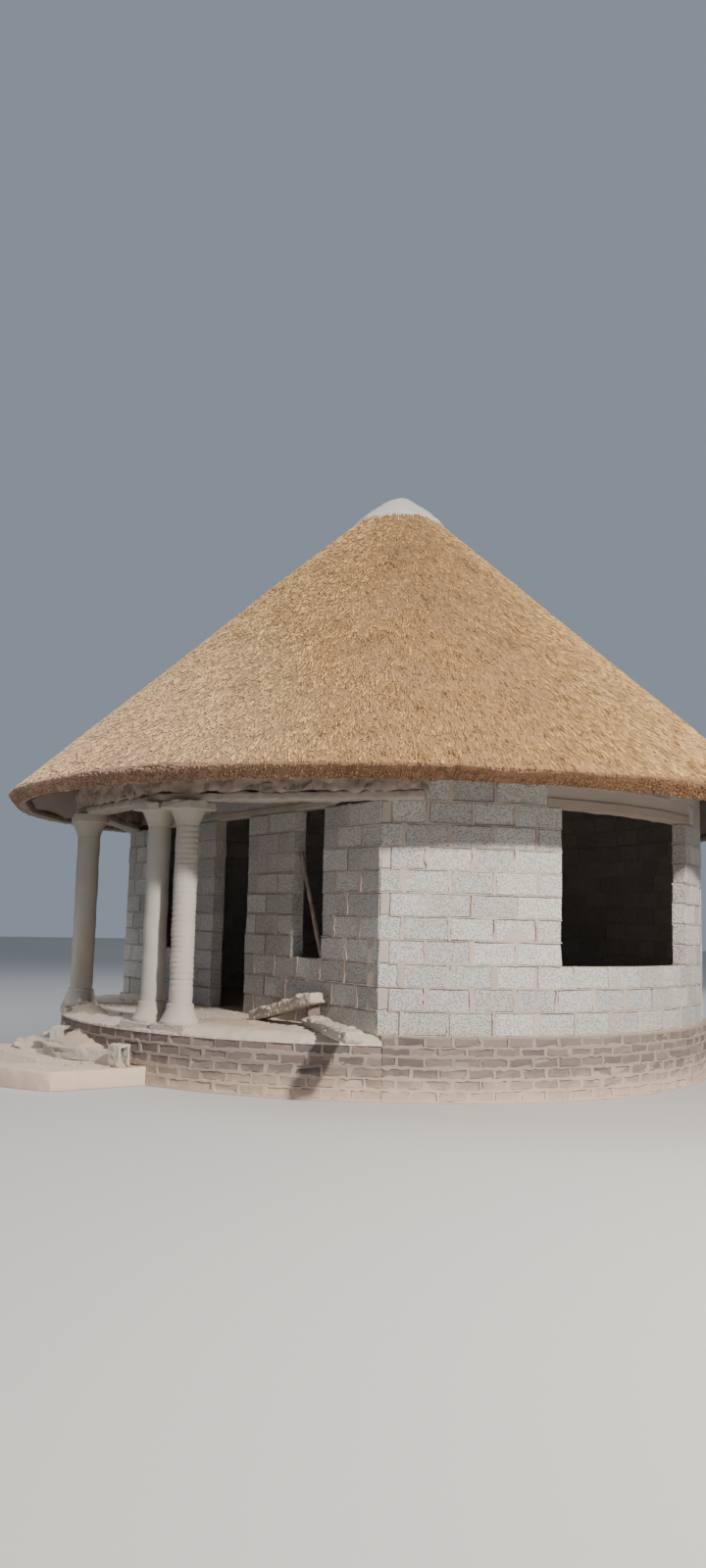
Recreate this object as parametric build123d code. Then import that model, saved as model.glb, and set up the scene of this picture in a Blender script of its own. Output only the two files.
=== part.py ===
from build123d import *
import math
import os

# Rondavel hut: a round blockwork room with a recessed porch and a thatched cone roof.
# Millimetres. The origin is the centre of the round wall at ground level.
# The door faces -Y and +Z is up. Azimuths are degrees from -Y towards +X.

# Levels and courses
floor_level = 540.0
course = 200.0
sill_courses = 3
door_courses = 10
wall_courses = 13
lintel_height = 75.0
sill_level = floor_level + sill_courses * course
head_level = floor_level + door_courses * course
lintel_top = head_level + lintel_height
wall_top = floor_level + wall_courses * course

# Round wall of 140 mm hollow blocks, with its one window on the east side
wall_radius = 3430.0
wall_thickness = 140.0
wall_inner = wall_radius - wall_thickness
corner_angle = 51.7
window_start = 79.3
window_end = 111.6
back_segments = 4
lintel_bearing = 150.0

# Flat wall at the back of the porch
recess_y = -wall_radius * math.cos(math.radians(corner_angle))
recess_back = recess_y + wall_thickness
door_width = 740.0
slot_width = 530.0
slot_centre = 1527.0
slot_inner = slot_centre - slot_width / 2
slot_outer = slot_centre + slot_width / 2
door_lintel_length = 1500.0
slot_lintel_length = 1200.0

# Brick plinth, floors and fill
plinth_proud = 60.0
plinth_thickness = 240.0
plinth_radius = wall_radius + plinth_proud
plinth_inner = plinth_radius - plinth_thickness
corner_margin = 6.0
floor_thickness = 100.0

# Porch: one arc from the round plinth's east end to its west end, with a worn sloping edge
# on the floor and a kerb under each pair of columns
porch_reach = 240.0
porch_front = wall_radius + porch_reach
porch_slab_thickness = 80.0
porch_wall_thickness = 220.0
porch_edge_slope = 55.0
kerb_angle = 17.6
kerb_half_angle = 6.4
kerb_depth = 390.0

# Steps
lower_step_level = 160.0
lower_step_depth = 1110.0
lower_step_radius = 1600.0
lower_step_half = 1090.0
upper_step_level = 260.0
upper_step_depth = 330.0
upper_step_radius = 700.0

# Porch columns, in two pairs
column_set_out = 40.0
column_radius = wall_radius + column_set_out
column_angles = (14.5, 20.7)
column_sides = 24
shaft_radius = 105.0
pad_radius = 175.0
pad_height = 25.0
flare_top_radius = 125.0
flare_height = 130.0
foot_ring_height = 20.0
neck_radius = 113.0
neck_height = 20.0
echinus_radius = 158.0
echinus_height = 105.0
abacus_radius = 182.0
abacus_height = 70.0
shoulder = 5.0

# Beams over the porch, and the rough filling between them and the roof
beam_width = 220.0
beam_corner_set_out = 150.0
beam_corner_radius = column_radius + beam_corner_set_out
beam_corner_angle = 17.0
beam_end_proud = 160.0
beam_end_radius = wall_radius + beam_end_proud
beam_end_angle = 57.4

# Roof
plate_width = 100.0
plate_height = 50.0
plate_inset = 20.0
plate_outer = wall_radius - plate_inset
pitch = 42.6
eave_overhang = 880.0
eave_radius = wall_radius + eave_overhang
rafter_diameter = 90.0
lath_thickness = 30.0
lath_width = 40.0
thatch_thickness = 150.0
lath_rings = 10
lath_eave_inset = 160.0
lath_last = 620.0
rafter_eave_inset = 760.0
main_rafters = 12
main_rafter_head = 170.0
jack_rafter_head = 900.0
pole_sides = 8
frame_sides = 24
roof_sides = 72
apex_hole = 180.0
hub_height = 420.0
seat = 0.3

# Cement cap
cap_radius = 550.0
cap_rim = 75.0
cap_rise = 378.0

# Things left on the porch and the steps
block_height = 190.0
shell_thickness = 28.0
broken_block_length = 140.0
lower_block_set_out = 20.0
upper_block_set_out = 130.0
lower_block_place = (950.0, -porch_front - lower_block_set_out)
lower_block_turn = 23.0
upper_block_place = (-260.0, -porch_front - upper_block_set_out)
upper_block_turn = 52.0
brick = (222.0, 106.0, 73.0)
lower_piece_set_out = 96.0
lower_piece_start = (1810.0, recess_y - lower_piece_set_out)
lower_piece_heading = -18.0
lower_piece_length = 1350.0
upper_piece_set_out = 274.0
upper_piece_start = (1130.0, recess_y - upper_piece_set_out)
upper_piece_heading = 8.0
upper_piece_length = 900.0
prop_distance = 60.0
pole_diameter = 32.0
pole_foot_inset = 95.0
pole_rise = 995.0

tan_pitch = math.tan(math.radians(pitch))
cos_pitch = math.cos(math.radians(pitch))
sin_pitch = math.sin(math.radians(pitch))
rafter_depth = thatch_thickness + lath_thickness + rafter_diameter + 2 * seat
plate_top = wall_top + plate_height
reach = 2 * eave_radius


def polar(radius, azimuth):
    """Point in plan at a radius and an azimuth from -Y towards +X."""
    angle = math.radians(azimuth)
    return (radius * math.sin(angle), -radius * math.cos(angle))


def roof_level(radius, depth):
    """Level of a plane that lies the given depth below the thatch's top face."""
    rafter_foot = plate_top + (plate_outer - radius) * tan_pitch
    return rafter_foot + (rafter_depth - depth) / cos_pitch


def ring_sector(inner, outer, start, end, bottom, top):
    """Part of a round wall between two azimuths and two levels."""
    middle = (start + end) / 2
    edges = [
        ThreePointArc(polar(outer, start), polar(outer, middle), polar(outer, end)),
        Line(polar(outer, end), polar(inner, end)),
        ThreePointArc(polar(inner, end), polar(inner, middle), polar(inner, start)),
        Line(polar(inner, start), polar(outer, start)),
    ]
    return Pos(0, 0, bottom) * extrude(make_face(edges), top - bottom)


def disc(radius, bottom, top):
    """Upright cylinder on the hut's axis."""
    return Pos(0, 0, (bottom + top) / 2) * Cylinder(radius, top - bottom)


def block(x0, x1, y0, y1, z0, z1):
    """Upright box between opposite corners."""
    centre = Pos((x0 + x1) / 2, (y0 + y1) / 2, (z0 + z1) / 2)
    return centre * Box(x1 - x0, y1 - y0, z1 - z0)


def frustum(end, other_end, sides):
    """Many-sided cone or cylinder on the Z axis between two (radius, level) ends."""
    wide, narrow = sorted((end, other_end), reverse=True)
    rise = narrow[1] - wide[1]
    facet_share = math.cos(math.pi / sides)
    lean = math.degrees(math.atan((wide[0] - narrow[0]) * facet_share / abs(rise)))
    return Pos(0, 0, wide[1]) * extrude(RegularPolygon(wide[0], sides), rise, taper=lean)


def turned(profile, sides):
    """Solid round the Z axis through rising (radius, level) points, with flat facets."""
    shape = frustum(profile[0], profile[1], sides)
    for end, other_end in zip(profile[1:], profile[2:]):
        shape = shape + frustum(end, other_end, sides)
    return shape


def pair(shape):
    """A shape and its mirror image across the door's centre line, as two solids."""
    return Compound(children=[shape, mirror(shape, Plane.YZ)])


def behind_recess(bottom, top):
    """Everything on the room's side of the flat wall's front face."""
    return block(-reach, reach, recess_y, reach, bottom, top)


def roof_cone(depth):
    """Solid cone that fills the roof's space below a depth from its top face."""
    low = roof_level(reach, depth)
    peak = roof_level(0, depth)
    profile = make_face(Polyline((0, 0, low), (reach, 0, low), (0, 0, peak), (0, 0, low)))
    return revolve(profile, Axis.Z)


def quarter_spans():
    """Four equal stretches of the round wall, run past the flat wall's plane at both ends."""
    sweep = (360 - 2 * corner_angle) / 4
    spans = []
    for i, name in enumerate(("east", "back_east", "back_west", "west")):
        start = corner_angle + i * sweep
        end = start + sweep
        if i == 0:
            start = start - corner_margin
        if i == 3:
            end = end + corner_margin
        spans.append((name, start, end))
    return spans


def porch_plan(inset):
    """Radius and place of the porch's outer arc, with its edge moved in."""
    depth = porch_front + recess_y
    half_chord = math.sqrt(plinth_radius**2 - recess_y**2)
    radius = (half_chord**2 + depth**2) / (2 * depth)
    return radius - inset, Pos(0, radius - porch_front, 0)


def porch_body(inset, bottom, top):
    """The porch's plan between two levels, with its outer edge moved in."""
    radius, place = porch_plan(inset)
    return place * disc(radius, bottom, top) - behind_recess(bottom, top)


def porch_slab():
    """Porch floor with a sloping edge, and a square kerb under each pair of columns."""
    bottom = floor_level - porch_slab_thickness
    radius, place = porch_plan(0)
    rise = porch_slab_thickness
    slope_in = rise * math.tan(math.radians(porch_edge_slope))
    middle = (bottom + floor_level) / 2
    slab = place * Pos(0, 0, middle) * Cone(radius, radius - slope_in, rise)
    slab = slab - behind_recess(bottom, floor_level)
    kerb = ring_sector(
        wall_radius - kerb_depth / 2,
        reach,
        kerb_angle - kerb_half_angle,
        kerb_angle + kerb_half_angle,
        bottom,
        floor_level,
    )
    kerb = kerb & porch_body(0, bottom, floor_level)
    return slab + kerb + mirror(kerb, Plane.YZ)


def floor_parts():
    """Plinth, slabs and fill of the room and the porch."""
    parts = {}
    room = behind_recess(0, floor_level)
    for name, start, end in quarter_spans():
        sector = ring_sector(plinth_inner, plinth_radius, start, end, 0, floor_level)
        parts["plinth_" + name] = sector & room
    slab_bottom = floor_level - floor_thickness
    parts["floor_slab"] = disc(plinth_inner, slab_bottom, floor_level) & room
    parts["floor_fill"] = disc(plinth_inner, 0, slab_bottom) & room
    porch_bottom = floor_level - porch_slab_thickness
    parts["porch_slab"] = porch_slab()
    fill = porch_body(porch_wall_thickness, 0, porch_bottom)
    parts["porch_plinth"] = porch_body(0, 0, porch_bottom) - fill
    parts["porch_fill"] = fill
    return parts


def step(radius, depth, bottom, top):
    """Round-fronted step that reaches the given depth out from the porch."""
    centre_y = radius - porch_front - depth
    return Pos(0, centre_y, 0) * disc(radius, bottom, top) - porch_body(0, bottom, top)


def step_parts():
    """Two steps before the entrance, the lower one wider, with square ends."""
    lower = step(lower_step_radius, lower_step_depth, 0, lower_step_level)
    span = block(-lower_step_half, lower_step_half, -reach, recess_y, 0, lower_step_level)
    upper = step(upper_step_radius, upper_step_depth, lower_step_level, upper_step_level)
    return {"step_lower": lower & span, "step_upper": upper}


def strip(p, q, width, bottom, top):
    """Straight beam with its outer face from p to q and its body towards the axis."""
    dx = q[0] - p[0]
    dy = q[1] - p[1]
    length = math.hypot(dx, dy)
    nx = -dy / length
    ny = dx / length
    if nx * p[0] + ny * p[1] > 0:
        nx = -nx
        ny = -ny
    inner_p = (p[0] + nx * width, p[1] + ny * width)
    inner_q = (q[0] + nx * width, q[1] + ny * width)
    outline = Polyline(p, q, inner_q, inner_p, p)
    return Pos(0, 0, bottom) * extrude(make_face(outline), top - bottom)


def side_run(bottom, top):
    """East beam's plan between two levels, from the column pair to the round wall."""
    corner = polar(beam_corner_radius, beam_corner_angle)
    end = polar(beam_end_radius, beam_end_angle)
    return strip(corner, end, beam_width, bottom, top)


def front_run(bottom, top):
    """Front beam's plan between two levels, across the entrance."""
    x, y = polar(beam_corner_radius, beam_corner_angle)
    return strip((-x, y), (x, y), beam_width, bottom, top)


def beam_parts():
    """Precast beams over the porch and the rough filling up to the rafters."""
    roof = roof_cone(rafter_depth)
    top = roof_level(0, rafter_depth)
    side = side_run(head_level, lintel_top) - front_run(head_level, lintel_top)
    wall = disc(wall_radius, lintel_top, top) & behind_recess(lintel_top, top)
    filling = side_run(lintel_top, top) - front_run(lintel_top, top) - wall
    return {
        "beam_front": front_run(head_level, lintel_top),
        "beams_side": pair(side),
        "beam_filling_front": front_run(lintel_top, top) & roof,
        "beam_fillings_side": pair(filling & roof),
    }


def window_lintel():
    """Curved lintel over the window, borne by the wall at both ends."""
    bearing = math.degrees(lintel_bearing / wall_radius)
    start = window_start - bearing
    end = window_end + bearing
    return ring_sector(wall_inner, wall_radius, start, end, head_level, lintel_top)


def round_wall_parts():
    """Round blockwork: the pier and sill at the window, the back and the upper courses."""
    parts = {}
    pier_start = corner_angle - corner_margin
    pier = ring_sector(wall_inner, wall_radius, pier_start, window_start, floor_level, head_level)
    parts["wall_pier_east"] = pier & behind_recess(floor_level, head_level)
    parts["window_sill"] = ring_sector(
        wall_inner, wall_radius, window_start, window_end, floor_level, sill_level
    )
    parts["window_lintel"] = window_lintel()
    last = 360 - corner_angle
    sweep = (last - window_end) / (back_segments + 1)
    for i in range(back_segments):
        start = window_end + i * sweep
        wall = ring_sector(wall_inner, wall_radius, start, start + sweep, floor_level, head_level)
        parts["wall_back_%d" % (i + 1)] = wall
    west = ring_sector(
        wall_inner, wall_radius, last - sweep, last + corner_margin, floor_level, head_level
    )
    parts["wall_west"] = west & behind_recess(floor_level, head_level)
    beams = pair(side_run(head_level, lintel_top))
    for name, start, end in quarter_spans():
        wall = ring_sector(wall_inner, wall_radius, start, end, head_level, wall_top)
        wall = wall & behind_recess(head_level, wall_top)
        parts["wall_upper_" + name] = wall - beams - window_lintel()
    return parts


def recess_parts():
    """Flat wall between the porch and the room, with a door and two slots."""
    half_door = door_width / 2
    half = door_lintel_length / 2
    room = disc(wall_inner, floor_level, wall_top)
    lintel = block(half, half + slot_lintel_length, recess_y, recess_back, head_level, lintel_top)
    end = block(slot_outer, wall_inner, recess_y, recess_back, floor_level, lintel_top)
    end = (end & room) - lintel - side_run(head_level, lintel_top)
    upper = block(-wall_inner, wall_inner, recess_y, recess_back, lintel_top, wall_top)
    pier = block(half_door, slot_inner, recess_y, recess_back, floor_level, head_level)
    sill = block(slot_inner, slot_outer, recess_y, recess_back, floor_level, sill_level)
    return {
        "door_lintel": block(-half, half, recess_y, recess_back, head_level, lintel_top),
        "slot_lintels": pair(lintel),
        "recess_piers": pair(pier),
        "slot_sills": pair(sill),
        "recess_ends": pair(end),
        "recess_upper": upper & room,
    }


def column():
    """Plastered column: pad, flared foot, ring, shaft, neck, flared capital and abacus."""
    top = door_courses * course
    flare_top = pad_height + flare_height
    ring_top = flare_top + foot_ring_height
    echinus_top = top - abacus_height
    neck_top = echinus_top - echinus_height
    neck_bottom = neck_top - neck_height
    echinus_rise = echinus_height / 2
    echinus_belly = neck_radius + (echinus_radius - neck_radius) * 0.6
    profile = [
        (pad_radius, 0),
        (pad_radius, pad_height),
        (pad_radius - shoulder, pad_height + shoulder),
        (flare_top_radius, flare_top),
        (flare_top_radius, ring_top),
        (shaft_radius, ring_top + shoulder),
        (shaft_radius, neck_bottom - shoulder),
        (neck_radius, neck_bottom),
        (neck_radius, neck_top),
        (echinus_belly, neck_top + echinus_rise),
        (echinus_radius, echinus_top - shoulder),
        (abacus_radius, echinus_top),
        (abacus_radius, top),
    ]
    return turned(profile, column_sides)


def column_parts():
    """Two pairs of columns, one pair on each side of the entrance."""
    parts = {}
    shape = column()
    for name, side in (("east", 1), ("west", -1)):
        for kind, angle in zip(("inner", "outer"), column_angles):
            x, y = polar(column_radius, angle * side)
            parts["column_%s_%s" % (kind, name)] = Pos(x, y, floor_level) * shape
    return parts


def rafter(head):
    """Round pole along the slope in the XZ plane, from the eave up to a radius."""
    depth = thatch_thickness + lath_thickness + rafter_diameter / 2 + seat
    tail = eave_radius - rafter_eave_inset
    start = Vector(head, 0, roof_level(head, depth))
    end = Vector(tail, 0, roof_level(tail, depth))
    across = Vector(sin_pitch, 0, cos_pitch)
    plane = Plane(origin=start, x_dir=across, z_dir=end - start)
    section = plane * RegularPolygon(rafter_diameter / 2, pole_sides)
    return extrude(section, (end - start).length)


def rafter_parts():
    """Long and short poles in turn, and the hub where the long ones meet."""
    turn = 360 / main_rafters
    long_pole = rafter(main_rafter_head)
    short_pole = rafter(jack_rafter_head)
    poles = []
    for i in range(main_rafters):
        poles.append(Rot(0, 0, turn * (i + 0.5)) * long_pole)
        poles.append(Rot(0, 0, turn * i) * short_pole)
    level = roof_level(main_rafter_head, thatch_thickness + lath_thickness + rafter_diameter / 2)
    hub_radius = main_rafter_head - rafter_diameter / 2 * sin_pitch - seat
    profile = [(hub_radius, level - hub_height / 2), (hub_radius, level + hub_height / 2)]
    return {"rafters": Compound(children=poles), "roof_hub": turned(profile, frame_sides)}


def lath_parts():
    """Rings of thin laths, straight from rafter to rafter, under the thatch."""
    first = eave_radius - lath_eave_inset
    low = eave_radius
    high = lath_last / 2
    under = thatch_thickness + lath_thickness
    bed = turned(
        [(low, roof_level(low, thatch_thickness)), (high, roof_level(high, thatch_thickness))],
        frame_sides,
    )
    bed = bed - turned([(low, roof_level(low, under)), (high, roof_level(high, under))], frame_sides)
    bottom = roof_level(low, under) - lath_thickness
    top = roof_level(0, 0)
    rings = []
    for i in range(lath_rings):
        outer = first + (lath_last - first) * i / (lath_rings - 1)
        inner = outer - lath_width * cos_pitch
        ring = turned([(outer, bottom), (outer, top)], frame_sides)
        ring = ring - turned([(inner, bottom), (inner, top)], frame_sides)
        rings.append(bed & ring)
    return {"laths": Compound(children=rings)}


def plate_parts():
    """Timber wall plate on the round wall, under the rafters."""
    inner = plate_outer - plate_width
    ring = turned([(plate_outer, wall_top), (plate_outer, plate_top)], roof_sides)
    ring = ring - turned([(inner, wall_top), (inner, plate_top)], roof_sides)
    span = ring_sector(inner / 2, reach, corner_angle, 360 - corner_angle, wall_top, plate_top)
    return {"wall_plate": ring & span}


def thatch_parts():
    """Thatch coat with a square-cut eave, in four quarters, under a cement cap."""
    parts = {}
    cut_radius = eave_radius - thatch_thickness * sin_pitch
    cut = (cut_radius, roof_level(cut_radius, thatch_thickness))
    eave = (eave_radius, roof_level(eave_radius, 0))
    neck_in = (apex_hole, roof_level(apex_hole, thatch_thickness))
    neck_out = (apex_hole, roof_level(apex_hole, 0))
    coat = turned([cut, eave, neck_out], roof_sides) - turned([cut, neck_in, neck_out], roof_sides)
    quarter = coat & block(0, reach, 0, reach, 0, reach)
    for i, name in enumerate(("right", "back", "left", "front")):
        parts["thatch_" + name] = Rot(0, 0, 90 * i - 45) * quarter
    rim_bottom = roof_level(cap_radius, 0)
    rim_top = rim_bottom + cap_rim
    shares = ((1.0, 0.0), (0.87, 0.33), (0.52, 0.74), (0.27, 0.93), (0.1, 1.0))
    crown = [(cap_radius * r, rim_top + cap_rise * z) for r, z in shares]
    bed = turned([(cap_radius, rim_bottom), neck_out], roof_sides)
    parts["roof_cap"] = turned([(cap_radius, rim_bottom)] + crown, roof_sides) - bed
    return parts


def hollow_block(length):
    """Block piece along X with one core, open at its broken +X end, standing on Z = 0."""
    core = Pos(shell_thickness, 0, -shell_thickness) * Box(
        length, wall_thickness - 2 * shell_thickness, block_height
    )
    piece = Box(length, wall_thickness, block_height) - core
    return Pos(0, 0, block_height / 2) * piece


def lintel_piece(place, heading, tilt, length):
    """Broken lintel with the middle of its lower end at a place, along a heading."""
    box = Pos(length / 2, 0, lintel_height / 2) * Box(length, wall_thickness, lintel_height)
    return Pos(*place, floor_level) * Rot(0, 0, heading) * Rot(0, -tilt, 0) * box


def loose_parts():
    """Broken blocks, two pieces of lintel on the porch and a pole in the east slot."""
    parts = {}
    x, y = lower_block_place
    right = Pos(x, y, lower_step_level) * Rot(0, 0, lower_block_turn)
    x, y = upper_block_place
    left = Pos(x, y, upper_step_level) * Rot(0, 0, upper_block_turn)
    lying = Pos(0, 0, wall_thickness / 2) * Rot(90, 0, 0) * Pos(0, 0, -block_height / 2)
    piece = hollow_block(broken_block_length)
    blocks = [right * piece, left * lying * piece]
    parts["loose_blocks"] = Compound(children=blocks)

    parts["broken_lintel_lower"] = lintel_piece(
        lower_piece_start, lower_piece_heading, 0, lower_piece_length
    )
    prop = Pos(prop_distance, 0, lintel_height + brick[1] / 2) * Box(brick[2], brick[0] / 2, brick[1])
    place = Pos(*lower_piece_start, floor_level) * Rot(0, 0, lower_piece_heading)
    parts["prop_brick"] = place * prop
    upper = Pos(*upper_piece_start, floor_level) * Rot(0, 0, upper_piece_heading)
    first_edge = (upper.inverse() * parts["prop_brick"]).bounding_box().min.X
    tilt = math.degrees(math.atan2(lintel_height + brick[1] + seat, first_edge))
    parts["broken_lintel_upper"] = lintel_piece(
        upper_piece_start, upper_piece_heading, tilt, upper_piece_length
    )

    pole_y = (recess_y + recess_back) / 2
    foot = Vector(slot_outer - pole_foot_inset, pole_y, sill_level)
    head = Vector(slot_inner + pole_diameter, pole_y, sill_level + pole_rise)
    plane = Plane(origin=foot, z_dir=head - foot)
    pole = extrude(plane * RegularPolygon(pole_diameter / 2, pole_sides), (head - foot).length)
    opening = block(slot_inner + seat, slot_outer, recess_y, recess_back, sill_level, head_level)
    parts["leaning_pole"] = pole & opening
    return parts


def build():
    parts = {}
    for make in (
        floor_parts,
        step_parts,
        round_wall_parts,
        recess_parts,
        column_parts,
        beam_parts,
        plate_parts,
        rafter_parts,
        lath_parts,
        thatch_parts,
        loose_parts,
    ):
        parts.update(make())
    return parts


os.makedirs("parts", exist_ok=True)
for name, shape in build().items():
    export_step(shape, "parts/%s.step" % name)
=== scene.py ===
from itertools import product

import bmesh
import bpy
import numpy as np
from mathutils import Matrix, Vector, noise


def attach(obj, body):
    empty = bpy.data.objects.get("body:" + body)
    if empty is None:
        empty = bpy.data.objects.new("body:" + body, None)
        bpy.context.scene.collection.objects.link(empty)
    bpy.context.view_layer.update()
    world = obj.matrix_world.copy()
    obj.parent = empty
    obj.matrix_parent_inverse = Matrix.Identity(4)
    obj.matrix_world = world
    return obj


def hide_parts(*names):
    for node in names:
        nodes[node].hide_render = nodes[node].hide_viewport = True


# Rondavel hut: a round blockwork room with a porch behind paired columns and a thatched cone roof.
# Metres. The door faces -Y and +Z is up. Azimuths are degrees from -Y towards +X.

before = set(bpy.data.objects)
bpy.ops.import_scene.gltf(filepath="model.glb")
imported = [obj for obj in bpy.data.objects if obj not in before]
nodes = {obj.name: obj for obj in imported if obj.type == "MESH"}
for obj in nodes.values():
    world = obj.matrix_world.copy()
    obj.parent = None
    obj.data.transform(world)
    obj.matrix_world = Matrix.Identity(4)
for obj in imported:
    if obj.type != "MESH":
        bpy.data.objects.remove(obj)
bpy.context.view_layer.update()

# Levels and courses
FLOOR = 0.54
COURSE = 0.2
SILL_COURSES = 3
HEAD_COURSES = 10
WALL_COURSES = 13
SILL = FLOOR + SILL_COURSES * COURSE
HEAD = FLOOR + HEAD_COURSES * COURSE
LINTEL_TOP = HEAD + 0.075
LINTEL_BEARING = 0.15
WALL_TOP = FLOOR + WALL_COURSES * COURSE

# Plan
WALL_RADIUS = 3.43
WALL_THICKNESS = 0.14
WALL_INNER = WALL_RADIUS - WALL_THICKNESS
CORNER = 51.7
WINDOW = (79.3, 111.6)
WINDOW_CLEAR = 0.15
LINTEL_TURN = np.degrees(LINTEL_BEARING / WALL_RADIUS)
RECESS_Y = -WALL_RADIUS * np.cos(np.radians(CORNER))
PLINTH_RADIUS = 3.49
PLINTH_THICKNESS = 0.24
PLINTH_CORNER = 52.5
BRICK_CORE_INSET = 0.01
DOOR_HALF = 0.37
SLOT_INNER = 1.262
SLOT_OUTER = 1.792

# Columns, and what lies over them
COLUMN_RADIUS = 3.47
COLUMN_ANGLES = (14.5, 20.7)
COLUMN_SIDES = 40
SHAFT_RADIUS = 0.105
RIB_PITCH = 0.048
RIB_DEPTH = 0.008
PAD = {"half": 0.18, "half_height": 0.038, "level": 1.958}
BAT = {"spacing": 0.19, "length": (0.08, 0.16), "rise": 0.088, "height": 0.065, "depth": 0.09}

# Porch and steps
PORCH_FRONT = 3.67
SLAB_DEPTH = 0.08
PORCH_WALL_TOP = FLOOR - SLAB_DEPTH
PORCH_DEPTH = PORCH_FRONT + RECESS_Y
HALF_CHORD = np.sqrt(PLINTH_RADIUS**2 - RECESS_Y**2)
PORCH_RADIUS = (HALF_CHORD**2 + PORCH_DEPTH**2) / (2 * PORCH_DEPTH)
PORCH_CENTRE_Y = PORCH_RADIUS - PORCH_FRONT
PORCH_WALL_THICKNESS = 0.22
KERB = (11.2, 24.0)
KERB_SPREAD = 1.12
KERB_GAP = 0.006
KERB_DEPTH = 0.3
KERB_PROUD = 0.012
LOWER_STEP = {"level": 0.16, "radius": 1.6, "depth": 1.11, "half": 1.09}
UPPER_STEP = {"level": 0.26, "radius": 0.7, "depth": 0.33}

# Roof
PITCH = 42.6
TAN_PITCH = np.tan(np.radians(PITCH))
COS_PITCH = np.cos(np.radians(PITCH))
SIN_PITCH = np.sin(np.radians(PITCH))
EAVE_RADIUS = 4.31
THATCH = 0.15
RAFTER = 0.09
LATH = 0.03
THATCH_HOLE = 0.3
CAP_RADIUS = 0.55
CAP_RIM = 0.535
CAP_LOPSIDED = 0.045
CAP_NARROW_SIDE = 53
CAP_BEAD = 0.036
CAP_HEIGHT = 0.425
STRAWS_A_QUARTER = 23500
EAVE_STRAWS = 18000
STRAW_LENGTH = (0.055, 0.18)
STRAW_WIDTH = (0.0032, 0.0074)

# Masonry. A bed lies under each course, and the mortar core stays a little inside the faces.
# Every other course of the round wall stops short at the corner, where mortar fills the tooth.
BLOCK_BED = 0.006
BLOCK_HEIGHT = 0.188
CORE_INSET = 0.012
CLEAR = 0.004
TOOTH = 0.09
INFILL = 0.085
BRICK_PITCH = 0.092
BRICK_HEIGHT = 0.072
BRICK_TOPS = [PORCH_WALL_TOP - CLEAR - BRICK_PITCH * row for row in range(5)]

# How units are laid: their module, joint and depth, and the mortar's widths and heights
BLOCK_LOOK = {"module": 0.4, "joint": 0.028, "depth": WALL_THICKNESS, "proud": 0.003, "shift": 0.003,
              "open_share": 0.1, "step": 0.04, "upright": 0.048, "height": 0.004, "sink": 0.012,
              "bed": 0.013, "bed_drop": 0.004}
BRICK_LOOK = {"module": 0.24, "joint": 0.022, "depth": 0.1, "proud": 0.002, "shift": 0.002,
              "open_share": 0.02, "step": 0.04, "upright": 0.04, "height": 0.002, "sink": 0.012,
              "bed": 0.032, "bed_drop": 0.01}
INNER_LOOK = {"step": 0.08, "bed": 0.022, "height": 0.003, "sink": 0.012}

# Wear of boxes: chamfer, jitter, chip, share of chipped corners, tilt
BLOCK_WEAR = (0.006, 0.0014, 0.008, 0.14, 0.004)
BRICK_WEAR = (0.005, 0.0018, 0.014, 0.2, 0.014)
KERB_WEAR = (0.006, 0.002, 0.02, 0.3, 0.004)
PAD_WEAR = (0.007, 0.003, 0.012, 0.3, 0.006)
BAT_WEAR = (0.008, 0.003, 0.025, 0.35, 0.05)
INFILL_WEAR = (0.008, 0.003, 0.006, 0.3, 0.0)

# Names of CAD nodes that are used together
SIDES = ("east", "back_east", "back_west", "west")
BROKEN_LINTELS = ["broken_lintel_lower", "broken_lintel_upper"]


def polar(radius, azimuth):
    """Plan point or points at a radius and an azimuth."""
    angle = np.radians(azimuth)
    return np.stack([radius * np.sin(angle), -radius * np.cos(angle)], -1)


def roof_level(radius, depth=0.0):
    """Level of the plane that lies a depth below the thatch's top face."""
    plate_top = WALL_TOP + 0.05
    plate_outer = WALL_RADIUS - 0.02
    rafter_depth = THATCH + LATH + RAFTER + 0.0006
    return plate_top + (plate_outer - radius) * TAN_PITCH + (rafter_depth - depth) / COS_PITCH


def roof_axes(azimuth):
    """Sideways, downslope and upright directions on the roof's face."""
    angle = np.radians(azimuth)
    level = np.zeros(np.shape(azimuth))
    out = np.stack([np.sin(angle), -np.cos(angle), level], -1)
    across = np.stack([np.cos(angle), np.sin(angle), level], -1)
    return across, out * COS_PITCH - [0, 0, SIN_PITCH], out * SIN_PITCH + [0, 0, COS_PITCH]


def raised(plan, level):
    """Plan points lifted to a level, or each to its own."""
    return np.column_stack([plan, np.broadcast_to(level, len(plan))])


# Meshes

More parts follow.
